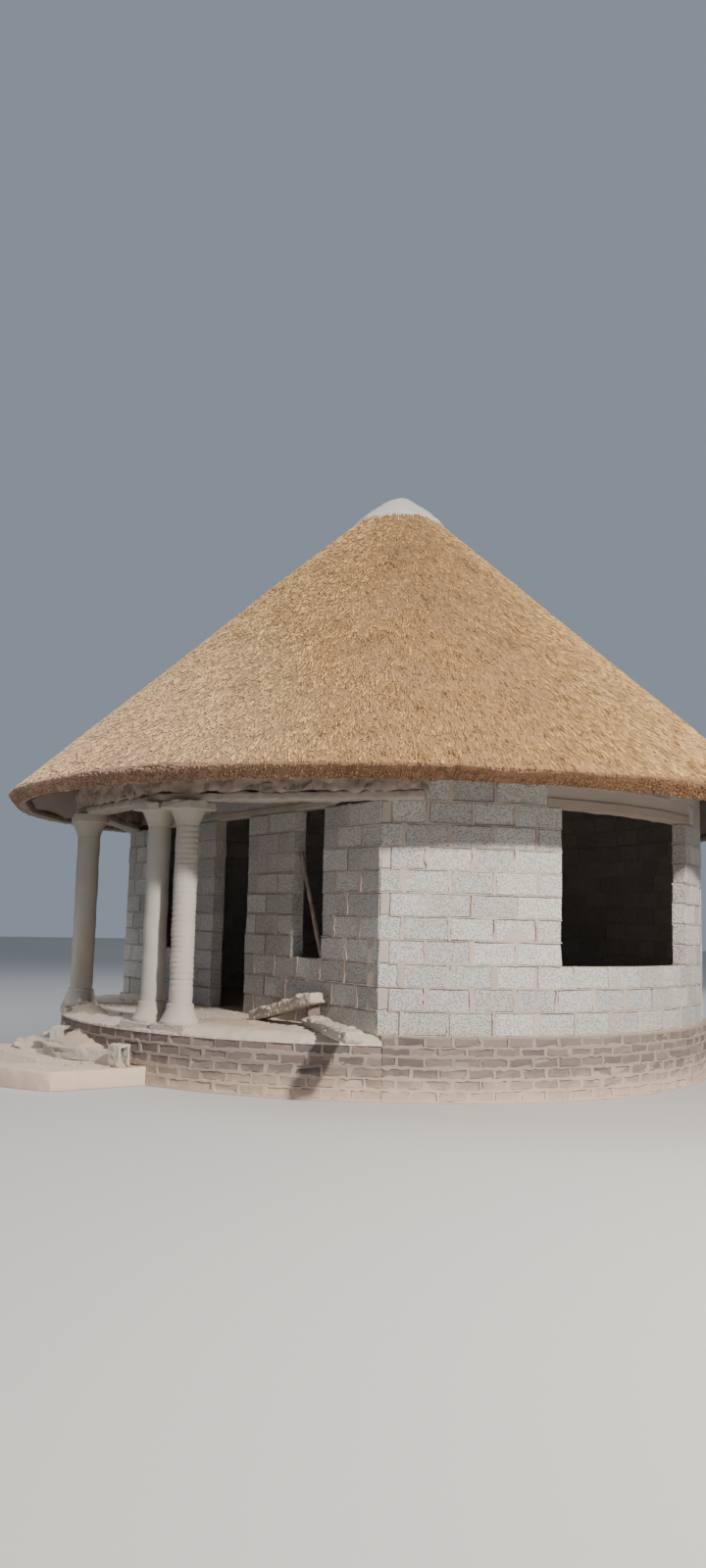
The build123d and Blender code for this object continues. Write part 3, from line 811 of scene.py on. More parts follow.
def round_wall():
    """Blocks and mortar of the round wall, outside and inside, round the window."""
    path = arc_path(WALL_RADIUS, CORNER, 360 - CORNER)
    window = [(angle - CORNER) * (np.pi * WALL_RADIUS / 180) for angle in WINDOW]
    boxes = Boxes(11)
    infills = Boxes(12)
    mortar = Shape()
    for course in range(WALL_COURSES):
        low, high = course_levels(course)
        toothed = course % 2 and course < WALL_COURSES - 1
        inset = TOOTH if toothed else 0.0
        runs = [(inset, path.length - inset)]
        if SILL_COURSES <= course <= HEAD_COURSES:
            bearing = LINTEL_BEARING if course == HEAD_COURSES else 0.0
            runs = [(inset, window[0] - bearing), (window[1] + bearing, path.length - inset)]
        lay_course(path, runs, low, high, first_joint(BLOCK_LOOK, course, inset), boxes, mortar, BLOCK_LOOK)
        if toothed:
            for a, b in ((0.0, INFILL), (path.length - INFILL, path.length)):
                infills.between(path.at(a), path.at(b), low, high, 0.13, 0.001)
    boxes.finish("wall_blocks", block_grey, BLOCK_WEAR)

    infills.fill(mortar, *INFILL_WEAR)
    outer = WALL_RADIUS - CORE_INSET
    inner = WALL_INNER + CORE_INSET
    edge = azimuth_at(outer, RECESS_Y + CORE_INSET)
    flat = azimuth_at(inner, RECESS_Y)
    left = WINDOW[0] - WINDOW_CLEAR
    right = WINDOW[1] + WINDOW_CLEAR
    for start, end, low, high, inner_start, inner_end in (
            (edge, left, FLOOR, HEAD, flat, None),
            (left, right, FLOOR, SILL - CLEAR, None, None),
            (right, 360 - edge, FLOOR, HEAD, None, 360 - flat),
            (edge, 360 - edge, LINTEL_TOP, WALL_TOP, flat, 360 - flat),
            (edge, WINDOW[0] - LINTEL_TURN, HEAD, LINTEL_TOP, flat, None),
            (WINDOW[1] + LINTEL_TURN, 360 - edge, HEAD, LINTEL_TOP, None, 360 - flat)):
        ring_core(mortar, outer, inner, start, end, low, high, inner_start, inner_end)
    inner_joints(mortar, window)
    replaced = ["wall_pier_east", "window_sill", "wall_west"]
    replaced += ["wall_back_%d" % (i + 1) for i in range(4)]
    replaced += ["wall_upper_" + side for side in SIDES]
    piece("wall_mortar", mortar, mortar_beige, replaced)


def inner_joints(shape, window):
    """Mortar in the joints of the round wall's inner face."""
    random = np.random.default_rng(5)
    path = Path(polar(WALL_INNER, np.linspace(360 - CORNER, CORNER, 520)))
    total = path.length
    left, right = (total - place * (WALL_INNER / WALL_RADIUS) for place in window)
    for course in range(WALL_COURSES):
        runs = [(0.0, total)]
        if SILL_COURSES <= course < HEAD_COURSES:
            runs = [(0.0, right), (left, total)]
        for start, end in runs:
            bed_joint(shape, path, start, end, FLOOR + COURSE * course, INNER_LOOK, random)


def window_lintel():
    """Cast lintel over the window, a little rough, in the darker filling colour as painted shade under the
    eave.
    """
    shape = Shape()
    ring_core(shape, WALL_RADIUS + 0.004, WALL_INNER - 0.003, WINDOW[0] - LINTEL_TURN,
              WINDOW[1] + LINTEL_TURN, HEAD, LINTEL_TOP)
    # Painted shade: the lintel takes the dark brown filling colour to stand for the eave's shadow.
    piece("window_lintel_painted_shade", shape, filling_brown, ["window_lintel"])


# Flat wall behind the porch

def recess_runs(course, half):
    """Parts of a course between the openings, measured from the wall's west end."""
    edges = []
    if course < HEAD_COURSES:
        edges = [-DOOR_HALF, DOOR_HALF]
    if SILL_COURSES <= course < HEAD_COURSES:
        edges = [-SLOT_OUTER, -SLOT_INNER, *edges, SLOT_INNER, SLOT_OUTER]
    along = np.array([BLOCK_BED - half, *edges, half - BLOCK_BED]) + half
    return list(zip(along[::2], along[1::2]))


def recess_wall():
    """Blocks and mortar of the flat wall, with its door and two slots."""
    half = np.sqrt(WALL_RADIUS**2 - RECESS_Y**2)
    path = Path([(-half, RECESS_Y), (half, RECESS_Y)])
    boxes = Boxes(23)
    mortar = Shape()
    for course in range(WALL_COURSES):
        low, high = course_levels(course)
        if course == HEAD_COURSES:
            low = LINTEL_TOP + CLEAR
        lay_course(path, recess_runs(course, half), low, high, first_joint(BLOCK_LOOK, course), boxes, mortar,
                   BLOCK_LOOK)
    boxes.finish("recess_blocks", block_grey, BLOCK_WEAR)

    back = RECESS_Y + WALL_THICKNESS - CORE_INSET
    ends = np.sqrt((WALL_INNER + CORE_INSET) ** 2 - back**2)
    for start, end, low, high in (
            (-ends, -SLOT_OUTER, FLOOR, HEAD),
            (-SLOT_OUTER, -SLOT_INNER, FLOOR, SILL - CLEAR),
            (-SLOT_INNER, -DOOR_HALF, FLOOR, HEAD),
            (DOOR_HALF, SLOT_INNER, FLOOR, HEAD),
            (SLOT_INNER, SLOT_OUTER, FLOOR, SILL - CLEAR),
            (SLOT_OUTER, ends, FLOOR, HEAD),
            (-ends, ends, LINTEL_TOP, WALL_TOP)):
        outside, inside = ([(start + CLEAR, y), (end - CLEAR, y)] for y in (RECESS_Y + CORE_INSET, back))
        wall_core(mortar, outside, inside, low, high)
    piece("recess_mortar", mortar, mortar_beige,
          ["recess_piers", "slot_sills", "recess_ends", "recess_upper"])


# Plinth and porch

def porch_line(inset=0.0):
    """Outer edge of the porch from the west wall to the east wall."""
    radius = PORCH_RADIUS - inset
    last = np.degrees(np.arccos((PORCH_CENTRE_Y - RECESS_Y) / radius))
    return Path(polar(radius, np.linspace(-last, last, 180)) + [0, PORCH_CENTRE_Y])


def brick_courses(path, tops, name, seed):
    """Stretcher-bond bricks with pale mortar along a path."""
    boxes = Boxes(seed)
    mortar = Shape()
    for row, top in enumerate(tops):
        low = max(top - BRICK_HEIGHT, 0.004)
        first = first_joint(BRICK_LOOK, row)
        lay_course(path, [(0.0, path.length)], low, top, first, boxes, mortar, BRICK_LOOK)
    boxes.finish(name + "_bricks", stock_brick, BRICK_WEAR)
    return mortar


def plinth():
    """Brick plinth under the round wall."""
    path = arc_path(PLINTH_RADIUS, PLINTH_CORNER, 360 - PLINTH_CORNER)
    mortar = brick_courses(path, [FLOOR - 0.008] + BRICK_TOPS, "plinth", 31)
    outer = PLINTH_RADIUS - BRICK_CORE_INSET
    inner = PLINTH_RADIUS - PLINTH_THICKNESS
    edge = azimuth_at(outer, RECESS_Y + CLEAR)
    flat = azimuth_at(inner, RECESS_Y + CLEAR)
    ring_core(mortar, outer, inner, edge, 360 - edge, 0.0, FLOOR, flat, 360 - flat)
    piece("plinth_mortar", mortar, brick_mortar, ["plinth_" + side for side in SIDES])


def porch_wall():
    """Brick wall round the porch."""
    mortar = brick_courses(porch_line(), BRICK_TOPS, "porch", 37)
    outer = porch_line(BRICK_CORE_INSET)
    inner = porch_line(PORCH_WALL_THICKNESS)
    along = np.linspace(0, 1, 160)
    wall_core(mortar, outer.at(along * outer.length), inner.at(along * inner.length), 0.0, PORCH_WALL_TOP)
    piece("porch_mortar", mortar, brick_mortar, ["porch_plinth"])


def porch_top():
    """Sandy screed on the porch, worn to a rough slope along its edge."""
    path = porch_line()
    across = 300
    along = np.linspace(0, path.length, across)
    edge = path.at(along)
    out = path.out(along)
    share = np.linspace(-1, 1, across)
    back = np.column_stack([share * HALF_CHORD * 0.97, np.full(across, RECESS_Y + 0.001)])
    insets = [-0.004, 0.015, 0.04, 0.07, 0.1, 0.135, 0.175, 0.22, 0.27]
    lines = [edge - out * inset for inset in insets]
    for t in np.linspace(0, 1, 22)[1:]:
        lines.append(lines[8] * (1 - t) + back * t)
    plan = np.array(lines)
    flat = np.dstack([plan, np.zeros(plan.shape[:2])])
    rough = wave(flat, 0.35) * 0.014 + wave(flat, 0.07, 7.0) * 0.009
    width = 0.15 + 0.12 * wave(flat[0], 0.4, 5.0)
    drop = np.zeros(plan.shape[:2])
    for row, inset in enumerate(insets):
        slope = np.clip(1 - (inset + 0.01) / width, 0, 1)
        drop[row] = slope**1.3 * (FLOOR - PORCH_WALL_TOP - 0.012)
    top = np.dstack([plan, FLOOR - drop + rough])
    under = PORCH_WALL_TOP - 0.004
    bottom = np.array([raised(plan[row], under) for row in (-1, 0)])
    ragged = out * (0.004 + 0.014 * wave(flat[0], 0.05, 9.0))[:, None]
    bottom[1, :, :2] += ragged
    top[0, :, :2] += ragged
    shape = Shape()
    loop = np.concatenate([top, bottom])
    numbers = shape.grid(loop, wrap_rows=True, flip=True)
    shape.close(numbers[:, 0])
    shape.close(numbers[:, -1], True)
    piece("porch_screed", shape, screed, ["porch_slab"], smooth=40)


def kerbs():
    """Two concrete kerb blocks under each pair of columns, bedded in mortar."""
    path = porch_line()
    per_degree = PORCH_RADIUS * np.pi / 180
    middle = path.length / 2
    stones = Boxes(61)
    low = PORCH_WALL_TOP + CLEAR
    half = (KERB[1] - KERB[0]) / 2
    for side in (-1, 1):
        ends = sorted(middle + side * (KERB[0] + half * k) * per_degree * KERB_SPREAD for k in range(3))
        for a, b in zip(ends, ends[1:]):
            stones.between(path.at(a + KERB_GAP), path.at(b - KERB_GAP), low, FLOOR + CLEAR, KERB_DEPTH,
                           KERB_PROUD)
    stones.finish("kerb_stones", block_grey, KERB_WEAR)


# Steps and what lies on them

def step_outline(step, half=None):
    """Outline of a round-fronted step: its front from west to east, then the porch's arc back."""
    centre_y = step["radius"] - PORCH_FRONT - step["depth"]
    side = half if half else step["radius"]
    turn = np.degrees(np.arcsin(min(side / step["radius"], 1.0)))
    front = polar(step["radius"], np.linspace(-turn, turn, 90)) + [0, centre_y]
    if half is None:
        gap = np.hypot(front[:, 0], front[:, 1] - PORCH_CENTRE_Y) - PORCH_RADIUS
        front = front[(gap > 0) & (front[:, 1] < PORCH_CENTRE_Y)]
    back_turn = np.degrees(np.arcsin(front[-1, 0] / PORCH_RADIUS))
    back = polar(PORCH_RADIUS + 0.004, np.linspace(back_turn, -back_turn, 60)) + [0, PORCH_CENTRE_Y]
    line = Path(np.concatenate([front, back, front[:1]]))
    return line.at(np.linspace(0, line.length, 220, endpoint=False))


def worn_step(name, outline, low, high, material, replaced, seed):
    """Cast step with chipped edges and an uneven, sandy top."""
    centre = outline.mean(0)
    rows = []
    levels = np.linspace(low, high - 0.014, 6)
    shares = [(1.0, z) for z in levels] + [(0.996, high - 0.005), (0.985, high)]
    shares += [(t, high) for t in np.linspace(0.96, 0.02, 26)]
    for share, z in shares:
        plan = centre + (outline - centre) * share
        rows.append(raised(plan, z))
    points = np.array(rows)
    out = points[:1, :, :2] - centre
    out = out / np.linalg.norm(out, axis=-1, keepdims=True)
    push = wave(points, 0.2, seed) * 0.016 + wave(points, 0.05, seed) * 0.008
    edge = np.array([share for share, _ in shares])[:, None]
    rim = (edge > 0.95) * (points[..., 2] > high - 0.05)
    chip = np.clip(wave(points, 0.12, seed + 5) - 0.12, 0, 1) * 0.05 * rim
    points[..., :2] += out * ((push - chip) * (edge > 0.9))[..., None]
    lift = wave(points, 0.3, seed + 2) * 0.012 + wave(points, 0.06, seed + 3) * 0.006
    points[..., 2] += (lift - chip * 0.4) * (points[..., 2] > high - 0.006)
    shape = Shape()
    shape.closed(points)
    piece(name, shape, material, replaced, smooth=40)


def steps():
    """Two steps before the entrance."""
    lower = step_outline(LOWER_STEP, LOWER_STEP["half"])
    worn_step("lower_step", lower, 0.0, LOWER_STEP["level"], step_pink, ["step_lower"], 3.0)
    upper = step_outline(UPPER_STEP)
    worn_step("upper_step", upper, LOWER_STEP["level"], UPPER_STEP["level"], step_grey, ["step_upper"], 8.0)


def loose_pieces():
    """Broken blocks and lintels, the half brick under one, and the pole in the slot."""
    worn_copy("broken_blocks", ["loose_blocks"], 0.008, [(0.05, 0.01), (0.015, 0.004)], block_pale,
              6.0)
    worn_copy("broken_lintels", BROKEN_LINTELS, 0.011, [(0.06, 0.008), (0.02, 0.008)], broken_concrete,
              9.0, smooth=30, swell=0.012)
    worn_copy("pole_in_slot", ["leaning_pole"], 0.007, [(0.08, 0.006)], pole_pale, 3.0, swell=0.005)
    worn_copy("prop_half_brick", ["prop_brick"], 0.008, [(0.04, 0.006)], stock_brick, 2.0, tone=0.6)


def lintel_crust():
    """Lumps of mortar that still stick to the broken lintels."""
    crust = Shape()
    for label in BROKEN_LINTELS:
        corners = np.array([v.co[:] for v in nodes[label].data.vertices])
        low_end = corners[np.argmin(corners[:, 0])]
        random = np.random.default_rng(int(low_end[0] * 100) + 7)
        centre = corners.mean(0)
        _, _, axes = np.linalg.svd(corners - centre)
        along = axes[0] if axes[0][0] > 0 else -axes[0]
        across = np.cross([0, 0, 1], along)
        across = across / np.linalg.norm(across)
        up = np.cross(along, across)
        reach = np.abs((corners - centre) @ along).max() * 0.9
        thick = np.abs((corners - centre) @ up).max()
        for _ in range(60):
            spot = centre + along * random.uniform(-reach, reach) + across * random.uniform(-0.055, 0.055)
            spot = spot + up * random.uniform(-0.3, 1.0) * (thick - 0.01)
            size = random.uniform(0.04, 0.11)
            rock(crust, spot, (size * 1.6, size * 1.2, size * 0.55), random)
    piece("lintel_mortar_crust", crust, mortar_beige)


def sand_heaps():
    """Sand on the steps and the porch."""
    sand = Shape()
    low = LOWER_STEP["level"]
    high = UPPER_STEP["level"]
    for centre, radii, turn, height, base, seed, power in (
            ((0.76, -3.66), (0.24, 0.12), 8, 0.1, low - 0.004, 1.0, 1.5),
            ((-0.86, -3.86), (0.26, 0.2), 0, 0.1, low - 0.004, 3.0, 1.5),
            ((-0.05, -3.67), (0.6, 0.24), 0, 0.13, high - 0.004, 4.0, 1.0),
            ((-0.35, -3.46), (0.5, 0.12), 0, 0.1, FLOOR - 0.03, 5.0, 1.5),
            ((-0.78, -3.4), (0.3, 0.12), 0, 0.08, FLOOR - 0.03, 6.0, 1.5),
            ((1.2, -2.75), (0.5, 0.3), 0, 0.03, FLOOR - 0.012, 10.0, 1.5),
            ((0.0, -4.35), (0.7, 0.2), 0, 0.02, low - 0.008, 11.0, 1.5)):
        heap(sand, centre, radii, turn, height, base, seed, power)
    piece("sand_heaps", sand, loose_sand, smooth=50)


def rubble_lumps():
    """Lumps by the entrance, and small ones strewn over the steps and the porch."""
    rubble = Shape()
    random = np.random.default_rng(83)
    low = LOWER_STEP["level"]
    high = UPPER_STEP["level"]
    spots = [(-0.86, -3.98, low + 0.02, 0.1), (-0.72, -4.04, low, 0.12), (-0.5, -3.84, high + 0.02, 0.11),
             (-0.38, -3.8, high + 0.05, 0.12), (-0.22, -3.84, high + 0.04, 0.08), (-0.58, -4.06, low, 0.08),
             (-0.66, -3.44, FLOOR + 0.03, 0.1), (-0.5, -3.46, FLOOR + 0.03, 0.08),
             (-0.2, -3.46, FLOOR + 0.03, 0.06), (0.26, -3.4, FLOOR, 0.05), (0.84, -4.06, low, 0.05),
             (0.4, -4.24, low, 0.06), (-0.76, -4.3, low, 0.11), (-0.95, -4.2, low, 0.08)]
    for x, y, z, size in spots:
        rock(rubble, (x, y, z), (size * 1.25, size, size * 0.75), random)

    def small_lump(x, y, z, size):
        rock(rubble, (x, y, z), (size * 1.3, size, size * 0.8), random)

    lower_y = LOWER_STEP["radius"] - PORCH_FRONT - LOWER_STEP["depth"]
    for _ in range(150):
        x = random.uniform(-1.0, 1.0)
        y = random.uniform(-4.5, -3.75)
        on_upper = np.hypot(x, y + PORCH_FRONT + UPPER_STEP["depth"] - UPPER_STEP["radius"]) < 0.66
        size = random.uniform(0.01, 0.028)
        if np.hypot(x, y - lower_y) <= LOWER_STEP["radius"] - 0.06:
            small_lump(x, y, high if on_upper else low, size)
    for _ in range(120):
        x = random.uniform(-2.2, 2.2)
        y = random.uniform(-3.2, -2.25)
        size = random.uniform(0.01, 0.03)
        if np.hypot(x, y - PORCH_CENTRE_Y) <= PORCH_RADIUS - 0.27:
            small_lump(x, y, FLOOR, size)
    piece("rubble_lumps", rubble, rubble_pale)


# Columns

def column_shape(x, y, ribbed, seed):
    """Turned column with hand-plastered wobble, ribbed where the plaster is missing."""
    profile = [(0.176, 0.0), (0.175, 0.025), (0.168, 0.032), (0.15, 0.07), (0.134, 0.11), (0.124, 0.15),
               (0.124, 0.172), (0.106, 0.18)]
    shaft = [(SHAFT_RADIUS, z) for z in np.arange(0.2, 1.775, 0.0125)]
    crown = [(SHAFT_RADIUS, 1.78), (0.113, 1.787), (0.114, 1.803), (0.124, 1.83), (0.138, 1.862),
             (0.152, 1.894), (0.163, 1.913), (0.176, 1.917), (0.182, 1.922), (0.184, 1.945), (0.183, 1.975),
             (0.182, 2.0)]
    rings = np.array(profile + shaft + crown)
    angles = np.linspace(0, 2 * np.pi, COLUMN_SIDES, endpoint=False)
    radius = np.tile(rings[:, :1], (1, COLUMN_SIDES))
    level = np.tile(rings[:, 1:], (1, COLUMN_SIDES))
    around = np.dstack([np.cos(angles)[None] * radius, np.sin(angles)[None] * radius, level])
    wobble = wave(around + [x, y, seed], 0.16) * 0.008 + wave(around + [x, y, seed], 0.03) * 0.002
    if ribbed:
        on_shaft = (rings[:, 1] > 0.3) & (rings[:, 1] < 1.79)
        uneven = rings[:, 1] + 0.01 * np.sin(rings[:, 1] * 9)
        ridge = np.abs(np.sin(np.pi * uneven / RIB_PITCH)) ** 0.6
        patchy = np.clip(0.9 + 1.2 * wave(around + [x, y, 5.0], 0.25), 0.3, 1)
        wobble = wobble + ((ridge - 0.7) * RIB_DEPTH * on_shaft)[:, None] * patchy
    radius = radius + wobble
    points = np.dstack([x + np.cos(angles)[None] * radius, y + np.sin(angles)[None] * radius, FLOOR + level])
    shape = Shape()
    shape.closed(points)
    return shape


def columns():
    """Two pairs of plastered columns; one has lost its plaster between the ribs."""
    for name, side in (("east", 1), ("west", -1)):
        for kind, angle in zip(("inner", "outer"), COLUMN_ANGLES):
            x, y = polar(COLUMN_RADIUS, angle * side)
            ribbed = name == "east" and kind == "outer"
            shape = column_shape(x, y, ribbed, angle * side)
            piece("plastered_column_%s_%s" % (kind, name), shape, plaster,
                  ["column_%s_%s" % (kind, name)], smooth=35)


def capital_pads():
    """Square pads between the two east columns and the beams."""
    boxes = Boxes(61)
    for angle in COLUMN_ANGLES:
        x, y = polar(COLUMN_RADIUS, angle)
        out = np.append(polar(1.0, angle), 0.0)
        along = [-out[1], out[0], 0]
        half = [PAD["half"], PAD["half"], PAD["half_height"]]
        boxes.add([x, y, FLOOR + PAD["level"]], [along, out, [0, 0, 1]], half)
    boxes.finish("capital_pads", plaster, PAD_WEAR)


# Beams and rough filling

def beams():
    """Rough cast beams on the columns, and the cast lintels in the flat wall."""
    worn_copy("cast_beams", ["beam_front", "beams_side"], 0.017, [(0.3, 0.014), (0.07, 0.012), (0.025, 0.004)],
              concrete)
    worn_copy("cast_lintels", ["door_lintel", "slot_lintels"], 0.017, [(0.15, 0.006), (0.03, 0.004)],
              concrete, 4.0)


def beam_filling():
    """Rough brick bats and mortar between the beams and the thatch."""
    worn_copy("front_filling", ["beam_filling_front", "beam_fillings_side"], 0.023,
              [(0.2, 0.03), (0.08, 0.03), (0.03, 0.01)], filling_brown, 2.0)
    bats = Boxes(71)
    corner = polar(3.61, 17.0)
    far_end = polar(3.585, 57.4)
    west = np.array([-1, 1])
    for p, q in ((corner * west, corner), (corner, far_end), (far_end * west, corner * west)):
        path = Path([p, q])
        for row in range(4):
            places = np.arange(0.03 + 0.1 * bats.random.random(), path.length - 0.15, BAT["spacing"])
            for a in places:
                long = bats.random.uniform(*BAT["length"])
                low = LINTEL_TOP + 0.014 + BAT["rise"] * row + bats.random.uniform(-0.008, 0.008)
                far = np.linalg.norm(path.at(a + long / 2))
                if low + 0.09 > roof_level(far, THATCH + LATH) or bats.random.random() < 0.25:
                    continue
                proud = bats.random.uniform(0.0, 0.016)
                bats.between(path.at(a), path.at(a + long), low, low + BAT["height"], BAT["depth"], proud)
    bats.finish("filling_bats", filling_bat, BAT_WEAR)


# Roof

WORN_SPOTS = ((52.8, 1.54, 0.11), (62.2, 2.2, 0.13), (48.4, 2.83, 0.1), (76.1, 2.79, 0.13), (55.8, 3.3, 0.09),
              (40.7, 2.6, 0.09), (58.9, 1.25, 0.09), (29.3, 3.37, 0.12), (85.3, 1.5, 0.1), (150.0, 2.4, 0.14),
              (205.0, 2.9, 0.12), (250.0, 1.9, 0.12), (310.0, 2.6, 0.14), (345.0, 3.2, 0.12))


def wornness(azimuth, radius):
    """How dark and open the thatch is, near its worn spots."""
    place = polar(radius, azimuth)
    share = np.zeros(np.shape(radius))
    for spot_azimuth, spot_radius, size in WORN_SPOTS:
        away = place - polar(spot_radius, spot_azimuth)
        share += np.exp(-(away**2).sum(-1) / size**2)
    return np.clip(share, 0, 1)


def thatch_surface(azimuth, radius):
    """How far the thatch's top stands off its plane."""
    a = np.radians(azimuth)
    return (0.010 * np.sin(5 * a + radius * 1.3) + 0.007 * np.sin(11 * a - radius * 2.1)
            + 0.004 * np.sin(23 * a + radius * 3.7) - 0.006)


def thatch_coat():
    """Body of the thatch: top, square-cut eave and underside in one closed skin."""
    around = 480
    azimuth = np.linspace(0, 360, around, endpoint=False)
    cut_radius = EAVE_RADIUS - THATCH * SIN_PITCH
    rows = []
    for radius in np.linspace(THATCH_HOLE, EAVE_RADIUS - 0.02, 52):
        rows.append((np.full(around, radius), roof_level(radius) + thatch_surface(azimuth, radius)))
    top_rows = len(rows)
    random = np.random.default_rng(3)
    for t in np.linspace(0.03, 1, 7):
        radius = EAVE_RADIUS + (cut_radius - EAVE_RADIUS) * t
        ragged = random.normal(0, 0.006, around) + 0.005 * np.sin(np.radians(azimuth) * 31)
        rows.append((radius + ragged * 0.5, roof_level(EAVE_RADIUS) - THATCH * COS_PITCH * t + ragged
                     + thatch_surface(azimuth, EAVE_RADIUS) * (1 - t)))
    cut_rows = len(rows)
    for radius in np.linspace(cut_radius - 0.05, THATCH_HOLE, 16):
        rough = random.normal(0, 0.003, around)
        over_laths = LATH / COS_PITCH * np.clip((radius - 3.46) / 0.06, 0, 1)
        rows.append((np.full(around, radius), roof_level(radius, THATCH) + rough + 0.004 - over_laths))
    points = np.array([raised(polar(radius, azimuth), level) for radius, level in rows])
    shape = Shape()
    shape.grid(points, wrap_rows=True, wrap_columns=True, tone=0.2, flip=True)
    made = piece("thatch_coat", shape, straw_top,
                 ["thatch_right", "thatch_back", "thatch_left", "thatch_front"], smooth=50)
    made.data.materials.append(straw_cut)
    # The underside takes the darker straw colour, which is painted shade.
    made.data.materials.append(painted_shade_straw_under)
    index = np.repeat(np.arange(len(rows)), around)
    part = np.where(index < top_rows - 1, 0, np.where(index < cut_rows - 1, 1, 2))
    made.data.polygons.foreach_set("material_index", part.astype(np.int32))


def straws(name, start, end, count, seed):
    """Straw ends that lie down the slope on a quarter of the roof, each a thin closed wedge."""
    random = np.random.default_rng(seed)
    inner = CAP_RADIUS - 0.03
    outer = EAVE_RADIUS - 0.005
    radius = np.sqrt(random.uniform(inner**2, outer**2, count))
    azimuth = random.uniform(start, end, count)
    across, down, normal = roof_axes(azimuth)
    lie = down + across * random.normal(0, 0.2, (count, 1))
    lie = lie / np.linalg.norm(lie, axis=1, keepdims=True)
    sideways = np.cross(normal, lie)
    length = random.uniform(*STRAW_LENGTH, (count, 1))
    width = random.uniform(*STRAW_WIDTH, (count, 1))
    tip_lift = random.uniform(0.002, 0.015, (count, 1))
    place = raised(polar(radius, azimuth), roof_level(radius) + thatch_surface(azimuth, radius))
    root = place - lie * length - normal * 0.006
    tip = place + normal * (tip_lift - 0.003)
    points = np.stack([root, tip - sideways * width, tip + sideways * width, tip + normal * width * 1.1], 1)
    clump = wave(place, 0.12, 3.0) * 0.35
    near_cap = 0.25 * np.exp(-(((radius - CAP_RADIUS) / 0.6) ** 2))
    tones = random.normal(0.62, 0.3, count) + clump + near_cap - 0.5 * wornness(azimuth, radius)
    shape = Shape()
    shape.repeat(points, [[[0, 3, 1], [0, 2, 3], [0, 1, 2], [1, 3, 2]]], np.clip(tones, 0, 1))
    piece(name, shape, straw_top)


def eave_ends(count, seed):
    """Cut straw ends that stand out of the eave's square edge."""
    random = np.random.default_rng(seed)
    azimuth = random.uniform(0, 360, count)
    t = random.uniform(0.0, 1.0, count)
    across, down, normal = roof_axes(azimuth)
    radius = EAVE_RADIUS - THATCH * SIN_PITCH * t
    face = raised(polar(radius, azimuth), roof_level(EAVE_RADIUS) - THATCH * COS_PITCH * t)
    stand = random.uniform(0.004, 0.02, (count, 1))
    lean = across * random.normal(0, 0.003, (count, 1)) + normal * random.normal(0, 0.003, (count, 1))
    tip = face + down * stand + lean
    width = random.uniform(0.0025, 0.005, (count, 1))
    points = np.stack([face - down * 0.03, tip - across * width - normal * width,
                       tip + across * width - normal * width, tip + normal * width], 1)
    tones = np.clip(random.normal(0.45, 0.3, count), 0, 1)
    shape = Shape()
    shape.repeat(points, [[[0, 2, 1], [0, 3, 2], [0, 1, 3], [1, 2, 3]]], tones)
    piece("eave_straw_ends", shape, straw_cut)


def cap():
    """Cement cap: a blunt cone on a rolled bead, uneven like hand-laid mortar."""
    azimuth = np.linspace(0, 360, 160, endpoint=False)
    rim_radius = CAP_RIM - CAP_LOPSIDED * np.cos(np.radians(azimuth - CAP_NARROW_SIDE))
    rim = roof_level(rim_radius)
    peak = roof_level(CAP_RADIUS) + CAP_HEIGHT
    bead = [(0.97, -0.04), (1.03, -0.018), (1.05, 0.006), (1.035, 0.026), (1.0, CAP_BEAD)]
    rows = [raised(polar(rim_radius * share, azimuth), rim + lift) for share, lift in bead]
    for share in np.linspace(0.96, 0.03, 13):
        level = rim + CAP_BEAD + (peak - rim - CAP_BEAD) * (1 - share**1.3)
        rows.append(raised(polar(rim_radius * share, azimuth), level))
    points = np.array(rows)
    shift = wave(points, 0.22, 4.0) * 0.02 + wave(points, 0.05, 4.0) * 0.006
    away = points - np.array([0, 0, rim.mean() - 0.1])
    away = away / np.linalg.norm(away, axis=-1, keepdims=True)
    shape = Shape()
    shape.closed(points + away * shift[..., None])
    piece("cement_cap", shape, cap_cement, ["roof_cap"], smooth=60)
    cap_runs(azimuth, rim_radius)


def cap_runs(rim_azimuth, rim_radius):
    """Mortar run down the thatch below the cap."""
    drips = Shape()
    random = np.random.default_rng(91)
    for start in np.linspace(0, 360, 90, endpoint=False):
        azimuth = start + random.uniform(-2, 2)
        radius = np.interp(azimuth % 360, rim_azimuth, rim_radius)
        _, down, normal = roof_axes(azimuth)
        root = np.append(polar(radius, azimuth), roof_level(radius) + 0.004)
        long = random.uniform(0.05, 0.1) if random.random() < 0.85 else random.uniform(0.12, 0.22)
        places = root + down * np.linspace(0, long, 6)[:, None]
        ribbon(drips, places, np.tile(normal, (6, 1)), random.uniform(0.01, 0.022), 0.004, 0.01, random)
    piece("cap_mortar_runs", drips, cap_cement)


# What the CAD shows as it is

def dress_nodes():
    looks = {
        "floor_slab": screed, "floor_fill": filling_brown, "porch_fill": filling_brown,
        "wall_plate": pole_wood, "rafters": pole_wood, "roof_hub": pole_wood, "laths": lath_wood,
    }
    for name, material in looks.items():
        mesh = nodes[name].data
        mesh.materials.clear()
        mesh.materials.append(material)


# Camera, light and floor

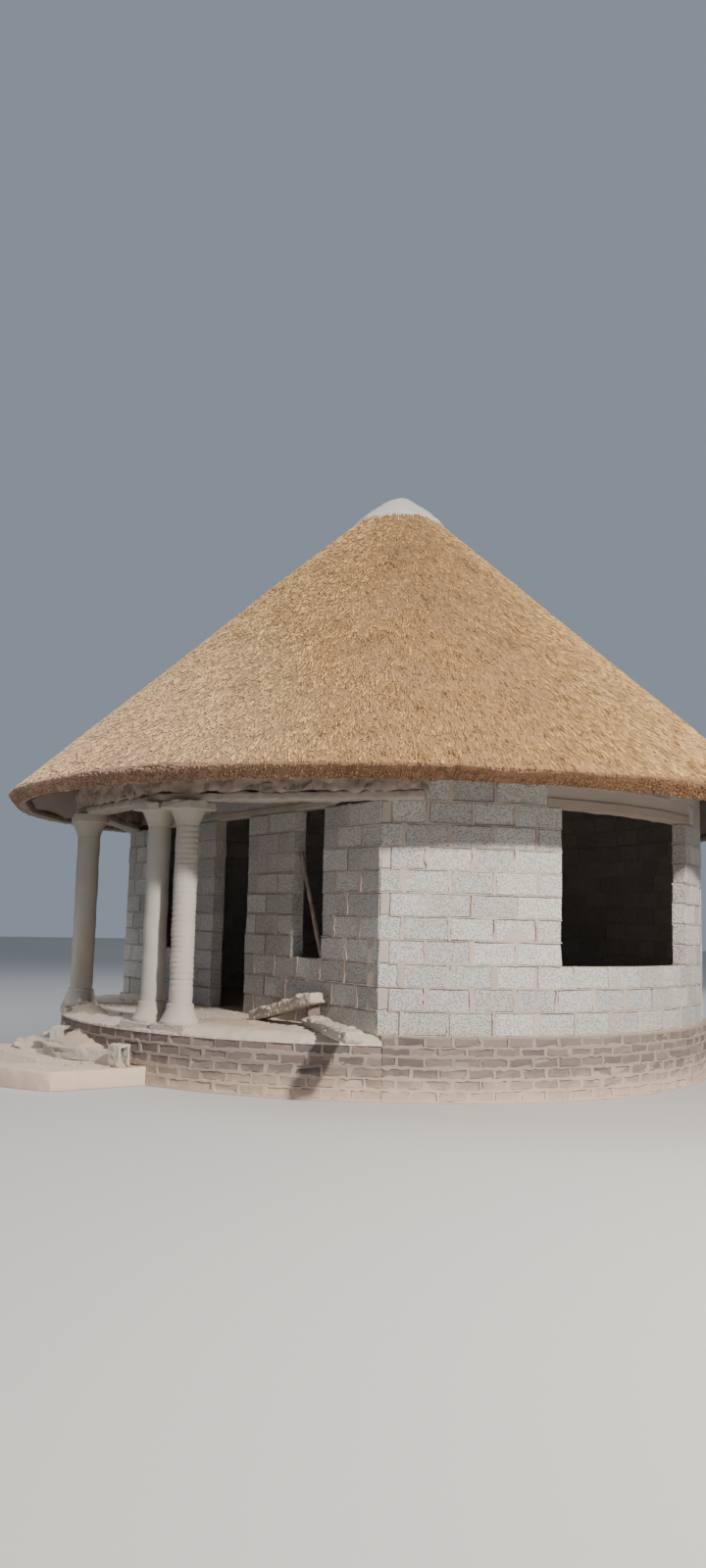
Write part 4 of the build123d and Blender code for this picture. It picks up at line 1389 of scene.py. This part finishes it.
def camera():
    place = Vector((10.396, -7.721, 1.484))
    right = Vector((0.568225, 0.82249, 0.025111))
    forward = Vector((-0.818217, 0.561504, 0.123428))
    up = right.cross(forward)
    turn = Matrix((right, up, -forward)).transposed()
    data = bpy.data.cameras.new("camera")
    data.lens = 25.4
    data.sensor_width = 36.0
    made = add_object("camera", data)
    made.matrix_world = Matrix.Translation(place) @ turn.to_4x4()
    bpy.context.scene.camera = made


def softbox(name, place, aim, size, power, colour):
    data = bpy.data.lights.new(name, "AREA")
    data.size = size
    data.energy = power
    data.color = colour
    made = add_object(name, data)
    made.location = place
    made.rotation_euler = (Vector(aim) - Vector(place)).to_track_quat("-Z", "Y").to_euler()


def studio():
    half = 60.0
    corners = [(-half, -half, 0), (half, -half, 0), (half, half, 0), (-half, half, 0)]
    mesh = bpy.data.meshes.new("studio_floor")
    mesh.from_pydata(corners, [], [(0, 1, 2, 3)])
    mesh.materials.append(plain_material("studio floor", (0.52, 0.50, 0.475), 0.9))
    floor = add_object("studio_floor", mesh)
    floor.location.z = -0.002
    world = bpy.data.worlds.new("studio")
    world.use_nodes = True
    sky = world.node_tree.nodes["Background"].inputs
    sky["Color"].default_value = (0.72, 0.84, 1.0, 1)
    sky["Strength"].default_value = 0.34
    bpy.context.scene.world = world
    middle = (0.0, 0.0, 2.0)
    softbox("key", (13.65, -2.41, 8.2), (0.5, -0.5, 1.6), 0.8, 3300.0, (1.0, 0.94, 0.86))
    softbox("back", (-9.0, 12.0, 9.0), middle, 8.0, 700.0, (0.95, 0.97, 1.0))
    softbox("sky", (-5.5, -8.5, 14.0), middle, 7.0, 1300.0, (0.93, 0.96, 1.0))


camera()
studio()
round_wall()
window_lintel()
recess_wall()
plinth()
porch_wall()
porch_top()
kerbs()
steps()
columns()
capital_pads()
beams()
beam_filling()
loose_pieces()
lintel_crust()
sand_heaps()
rubble_lumps()
thatch_coat()
for quarter in range(4):
    straws("thatch_straws_%d" % (quarter + 1), quarter * 90, quarter * 90 + 90, STRAWS_A_QUARTER, 40 + quarter)
eave_ends(EAVE_STRAWS, 50)
cap()
dress_nodes()
